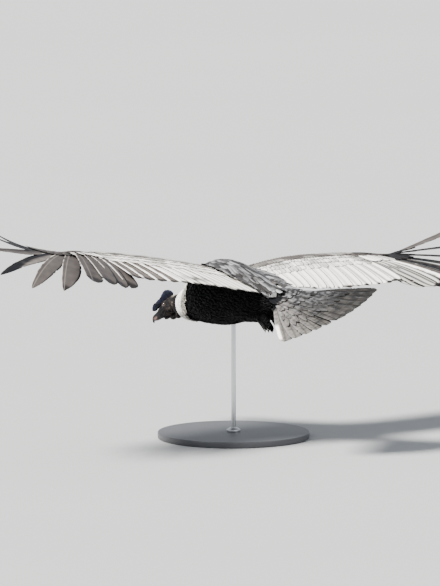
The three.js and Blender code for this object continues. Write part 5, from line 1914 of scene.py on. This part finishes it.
@dataclass
class Ruff:
    """The collar of white down round the root of the neck.

    Tufts grow from a ring whose section is an arch: from its fore foot over its crest to its rear
    foot. Each leans along the arch, so that the crest is soft and both feet lie flat.
    """

    aft: float = -227.0
    middle: float = -111.0
    radius: float = 47.0
    half_length: float = 22.0
    crest: float = 12.0
    tufts: int = 2750
    skirt: int = 850

    def arch(self, way: Array, turn: Array) -> Array:
        """Place on the arch.

        The ring's radius plus the crest times one less the way squared, with the ring leaning
        forwards at the top and widening to the rear.

        Args:
            way: From -1 at the fore foot to 1 at the rear foot.
            turn: Way around the neck, from the left over the top.

        Returns:
            The place.
        """
        swell = 1 + 0.08 * np.sin(3 * turn + 0.6) + 0.05 * np.sin(7 * turn)
        reach = self.radius + 4 * way + self.crest * swell * (1 - way**2)
        aft = self.aft + self.half_length * way - 6 * np.sin(turn)
        return together(reach * np.cos(turn), aft, self.middle + reach * np.sin(turn))

    def build(self) -> None:
        """Builds a soft core, the tufts over it and a skirt of tufts behind it, on the left side."""
        shell = Shell()
        grid, around = np.meshgrid(np.linspace(-1, 1, 30), ring(120), indexing="ij")
        core = self.arch(grid, around)
        inwards = together(np.cos(around), 0, np.sin(around))
        core = core - inwards * (3.5 + 1.2 * ripple(core, 9.0, 301))[..., None]
        shell.add_rings(core, CHALK * 0.8, together(around * 60, grid * 26, 0), (0.0, 0.0, 1.0, 0.2),
                        False, False)
        draw = np.random.default_rng(302)
        u = draw.uniform(-0.98, 0.9, self.tufts)
        v = np.arange(self.tufts) * GOLDEN % 1 * WHOLE_TURN
        length = draw.uniform(15, 25, self.tufts) * (1 - 0.25 * np.abs(u))
        heading = draw.normal(size=self.tufts) * 0.45
        batch = lay_on(self.arch, DOWN_VANE, u, v, heading, length, (-2.5, 3.4), -1, 303,
                       draw.uniform(0.7, 1.3, self.tufts))
        shade = draw.uniform(0.82, 1.04, (self.tufts, 1))
        # Greyer towards the rear foot of the arch, and painted shade on the collar's lower side.
        grey = np.maximum(ease(0.3, 0.9, u + 0.25 * np.sin(v * 2 + 1)) * 0.6,
                          ease(-0.1, -0.7, np.sin(v)) * 0.8)
        tint = mixed(CHALK * shade, DOWN_PAINTED_SHADE, grey * draw.uniform(0.5, 1.0, self.tufts))
        batch.add_to(shell, tint, together(v / WHOLE_TURN, 0.24 + 0.3 * (u + 1)), seed=304)
        turn = draw.normal(-0.05, 0.9, self.skirt)
        aft = -208 + draw.uniform(0, 20, self.skirt) + draw.uniform(0, 88, self.skirt) * bump(turn / 0.9)
        length = draw.uniform(16, 26, self.skirt)
        batch = lay_on(TORSO.surface, DOWN_VANE, aft, turn, draw.normal(size=self.skirt) * 0.3, length,
                       (-1.0, 3.5), 1, 305, draw.uniform(0.8, 1.3, self.skirt))
        # Painted shade: the skirt's tufts turn grey on their lower side.
        grey = draw.uniform(0.5, 1.0, self.skirt) * ease(0.6, -0.4, np.sin(turn))
        corner = together(turn / WHOLE_TURN % 1, 0.86 + 0.12 * (aft + 208) / 108)
        batch.add_to(shell, mixed(CHALK, DOWN_PAINTED_SHADE, grey), corner, seed=306)
        shell.build("ruff_down", WHITE_DOWN, Slot.DOWN, ["ruff"])


# The feet.


@dataclass
class Foot:
    """One foot, folded back under the tail with its toes half closed.

    Attributes:
        side: 1 on the left, -1 on the right.
        shank: Path of the shank.
        toe: Path of a toe: share of its spread, aft and up.
        hind: Path of the hind toe: aft and up.
        spread: How far the three toes spread, in millimetres.
    """

    side: int
    shank: tuple[tuple[float, ...], ...] = ((36, 205, -72), (36, 262, -90), (35, 305, -104))
    toe: tuple[tuple[float, ...], ...] = ((0, 290, -103), (0.6, 330, -118), (1, 354, -130))
    hind: tuple[tuple[float, ...], ...] = ((296, -104), (308, -113), (318, -120))
    spread: tuple[float, ...] = (-14, 0, 14)

    def tube(self, shell: Shell, path: Array, radii: Sequence[float], tint: Array, scutes: float,
             box: Sequence[float]) -> None:
        """Adds a scaly rod: circles round a smooth path, swelling between the scutes' grooves.

        Args:
            shell: What takes it.
            path: Points of the path.
            radii: Radius at each.
            tint: Its colour.
            scutes: How many scutes lie along it.
            box: Its part of the map.
        """
        share = np.linspace(0, 1, 44)
        stations = np.linspace(0, 1, len(path))
        centre = spline(stations, path, share)
        ahead = unit(np.gradient(centre, axis=0))
        across = unit(np.cross([0.0, 0, 1], ahead))
        turn = ring(24)
        swell = 1 + 0.07 * np.abs(np.sin(np.pi * scutes * share))[:, None] * (0.6 + 0.4 * np.sin(turn))
        radius = spline(stations, radii, share).clip(0.6)[:, None] * swell
        points = (centre[:, None] + across[:, None] * (radius * np.cos(turn))[..., None]
                  + np.cross(ahead, across)[:, None] * (radius * np.sin(turn))[..., None])
        shell.add_rings(points, tint, together(turn * 8, share[:, None] * 60, 0), box)

    def toes(self) -> list[Array]:
        """Paths of the three fore toes and of the hind toe."""
        ankle = self.shank[-1][0]
        paths = [np.array([(self.side * (ankle + spread * share), aft, up) for share, aft, up in self.toe])
                 for spread in self.spread]
        paths.append(np.array([(self.side * ankle, aft, up) for aft, up in self.hind]))
        return paths

    def build(self) -> None:
        """Builds the scaly foot and its claws."""
        name = side_name(self.side)
        skin, claws = Shell(), Shell()
        # Near-black skin and claws: the foot's own dark grey, darkened further as painted shade, for the
        # feet folded in shadow under the tail.
        grey = srgb(11, 11, 12)
        shank = np.array(self.shank) * [self.side, 1, 1]
        self.tube(skin, shank, (15, 10, 8), grey, 9, (0.02, 0.02, 0.18, 0.96))
        for k, path in enumerate(self.toes()):
            self.tube(skin, path, (8.4, 7.4, 5.6), grey, 8, (0.22 + 0.19 * k, 0.02, 0.17, 0.96))
            way = unit(path[-1] - path[-2])
            claw = path[-1] + np.array([way * -3, way * 7 + [0, 0, -1], way * 13 + [0, 0, -6]])
            self.tube(claws, claw, (4.6, 3.4, 0.7), srgb(16, 16, 17), 0,
                      (0.02 + 0.24 * k, 0.02, 0.22, 0.96))
        skin.build(f"foot_{name}_skin", FOOT_SKIN, Slot.FOOT, [f"leg_{name}"])
        claws.build(f"foot_{name}_claws", BILL_HORN, Slot.HORN)


@dataclass
class Trousers:
    """Black feathers over both folded legs, from the belly back to the roots of the toes.

    Attributes:
        aft: Where the sections of the feathered leg lie.
        middle: Height of their centres.
        radius: Their radii.
    """

    aft: tuple[float, ...] = (175, 220, 262, 305, 340, 374)
    middle: tuple[float, ...] = (-64, -75, -80, -89, -104, -122)
    radius: tuple[float, ...] = (34, 27, 21, 17, 14, 10)

    def surface(self, side: int) -> Surface:
        """Surface of one leg: circles round its middle line."""

        def place(aft: Array, turn: Array) -> Array:
            """Place at a station and a way around."""
            radius, middle = (spline(self.aft, values, aft) for values in (self.radius, self.middle))
            radius = radius.clip(2)
            return together(side * 33 + radius * np.cos(turn), aft, middle + radius * np.sin(turn))

        return place

    def build(self) -> None:
        """Builds both legs' feathers as one piece."""
        shell = Shell()
        count = 560
        for side in (1, -1):
            draw = np.random.default_rng(150 + side)
            aft = draw.uniform(180, 362, count)
            turn = np.arange(count) * GOLDEN % 1 * WHOLE_TURN
            length = draw.uniform(34, 52, count) * np.interp(aft, (180, 300, 360), (1, 0.85, 0.45))
            heading = draw.normal(size=count) * 0.12
            batch = lay_on(self.surface(side), SMALL_VANE, aft, turn, heading, length, (-5, 1.5), 1, 152,
                           draw.uniform(0.8, 1.1, count))
            corner = together(turn / WHOLE_TURN, 0.26 + 0.25 * side + 0.48 * (aft - 180) / 184)
            batch.add_to(shell, BLACK * draw.uniform(0.7, 1.3, (count, 1)), corner, seed=153)
        shell.build("leg_feathers", BLACK_COAT, Slot.BODY)


# The stand.


@dataclass
class Stand:
    """A round base, a rod up to the belly and the collar at the rod's foot."""

    base_radius: float = 290.0
    base_thickness: float = 24.0
    bevel: float = 4.0
    rod_radius: float = 9.0
    collar_radius: float = 26.0
    collar_height: float = 16.0
    gap: float = 0.3

    def lathe(self, name: str, profile: Sequence[Array], sides: int, finish: Finish, slot: Slot,
              node: str) -> None:
        """Turns a profile about the upright axis: radius times cosine and sine of the turn.

        Args:
            name: The piece's name.
            profile: Radius and height of its points, from the axis at the bottom round to the top.
            sides: How many points a turn has.
            finish: Its finish.
            slot: Its slot.
            node: The node that it stands for.
        """
        outline = np.array(profile, float)
        radius, height = outline[:, :1], outline[:, 1:]
        turn = ring(sides)
        points = together(radius * np.cos(turn), radius * np.sin(turn), height)
        shell = Shell()
        shell.add_rings(points, (0.2, 0.2, 0.2), box=(0.01, 0.01, 0.98, 0.98), flip=False,
                        ends=not np.allclose(outline[0], outline[-1]))
        shell.build(name, finish, slot, [node], lift=np.asarray)

    def rounded(self, radius: float, *corners: tuple[float, float]) -> list[Array]:
        """A profile with its inner corners rounded: each becomes an arc of five points."""
        spots = np.array(corners, float)
        outline = [spots[0]]
        for before, corner, after in zip(spots, spots[1:], spots[2:]):
            start, stop = (corner + unit(other - corner) * radius for other in (before, after))
            outline += [start * (1 - t) ** 2 + corner * 2 * t * (1 - t) + stop * t**2
                        for t in np.linspace(0, 1, 5)]
        return outline + [spots[-1]]

    def build(self) -> None:
        """Builds the three pieces. The rod ends a gap under the belly, where its axis meets it."""
        edge, thick, rod, wide = self.base_radius, self.base_thickness, self.rod_radius, self.collar_radius
        base = self.rounded(self.bevel, (1, 0), (edge, 0), (edge, thick), (1, thick))
        foot = thick + self.gap
        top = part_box("stand_rod")[1].z / MM
        end = top - 0.2
        post = self.rounded(0.8, (0.5, foot), (rod, foot), (rod, end), (0.5, end))
        inner, rim = rod + self.gap, foot + self.collar_height
        collar = self.rounded(1.5, (inner, foot), (wide, foot), (wide, foot + self.collar_height / 2),
                              (inner + 4, rim), (inner, rim))
        self.lathe("base_painted", base, 160, Paint(), Slot.PAINT, "stand_base")
        self.lathe("rod_steel", post, 64, Steel(), Slot.STEEL, "stand_rod")
        self.lathe("collar_steel", collar + collar[:1], 96, Steel(), Slot.STEEL, "stand_collar")


# The studio.


@dataclass
class Studio:
    """Plain pale floor, soft light and a far camera at the photograph's angle.

    Attributes:
        azimuth: Where the camera stands, in degrees.
        elevation: How high it stands, in degrees.
        distance: How far off it stands, in metres.
        view_height: Height of the view at the bird, in metres.
        shift_right: How far the middle of the view lies right of the shoulders, in metres.
        shift_up: How far it lies above them.
        floor_reach: Half the floor's side, in metres.
    """

    azimuth: float = 145.4
    elevation: float = 8.0
    distance: float = 70.0
    view_height: float = 2.237
    shift_right: float = -0.0233
    shift_up: float = -0.0378
    floor_reach: float = 150.0

    def camera(self) -> None:
        """Adds the camera: from the target back along the line of sight, with a narrow lens."""
        a, e = math.radians(self.azimuth), math.radians(self.elevation)
        back = np.array([math.sin(a) * math.cos(e), -math.cos(a) * math.cos(e), math.sin(e)])
        right = np.array([math.cos(a), math.sin(a), 0])
        up = np.cross(back, right)
        target = BIRD_PLACE * MM + right * self.shift_right + up * self.shift_up
        data = bpy.data.cameras.new("camera")
        data.sensor_fit = "VERTICAL"
        data.sensor_height = 36.0
        data.lens = 36.0 * self.distance / self.view_height
        data.clip_start = 1.0
        data.clip_end = 400.0
        held = bpy.data.objects.new("camera", data)
        held.location = target + back * self.distance
        held.rotation_euler = (math.radians(90 - self.elevation), 0, a)
        bpy.context.scene.collection.objects.link(held)
        bpy.context.scene.camera = held

    def light(self, name: str, energy: float, azimuth: float, elevation: float, spread: float,
              colour: Colour = (1, 1, 1)) -> None:
        """Adds one soft sun from an azimuth and elevation, spread over an angle, in degrees."""
        data = bpy.data.lights.new(name, "SUN")
        data.energy = energy
        data.angle = math.radians(spread)
        data.color = colour
        lamp = bpy.data.objects.new(name, data)
        lamp.rotation_euler = (math.radians(90 - elevation), 0, math.radians(azimuth))
        bpy.context.scene.collection.objects.link(lamp)

    def build(self) -> None:
        """Builds floor, lights, surroundings and camera."""
        mesh = bpy.data.meshes.new("floor")
        corners = np.array([(-1, -1, 0), (1, -1, 0), (1, 1, 0), (-1, 1, 0)]) * self.floor_reach
        mesh.from_pydata(corners.tolist(), [], [(0, 1, 2, 3)])
        mesh.materials.append(Floor().material())
        floor = bpy.data.objects.new("floor", mesh)
        bpy.context.scene.collection.objects.link(floor)
        world = bpy.data.worlds.new("studio")
        world.use_nodes = True
        around = world.node_tree.nodes["Background"].inputs
        around["Color"].default_value = (0.86, 0.92, 1.0, 1)
        around["Strength"].default_value = 0.8
        bpy.context.scene.world = world
        self.light("key", 15.0, self.azimuth - 60, 52, 14, (1.0, 0.97, 0.92))
        self.light("fill", 0.7, self.azimuth + 50, 25, 40)
        self.camera()


def main() -> None:
    """Builds the whole bird, its stand and the studio."""
    logging.basicConfig(level=logging.INFO, format="%(name)s: %(message)s")
    Studio().build()
    Stand().build()
    Skin().build()
    Comb().build()
    Bill().build()
    for side in (1, -1):
        Eye(side).build()
        Foot(side).build()
    Trousers().build()
    Ruff().build()
    BodyCoat().build()
    Mantle().build()
    for wing in (LEFT_WING, RIGHT_WING):
        wing.build_flight()
        wing.build_coverts()
    tail = Tail()
    tail.build_flight()
    tail.build_coverts()


if __name__ == "__main__":
    main()
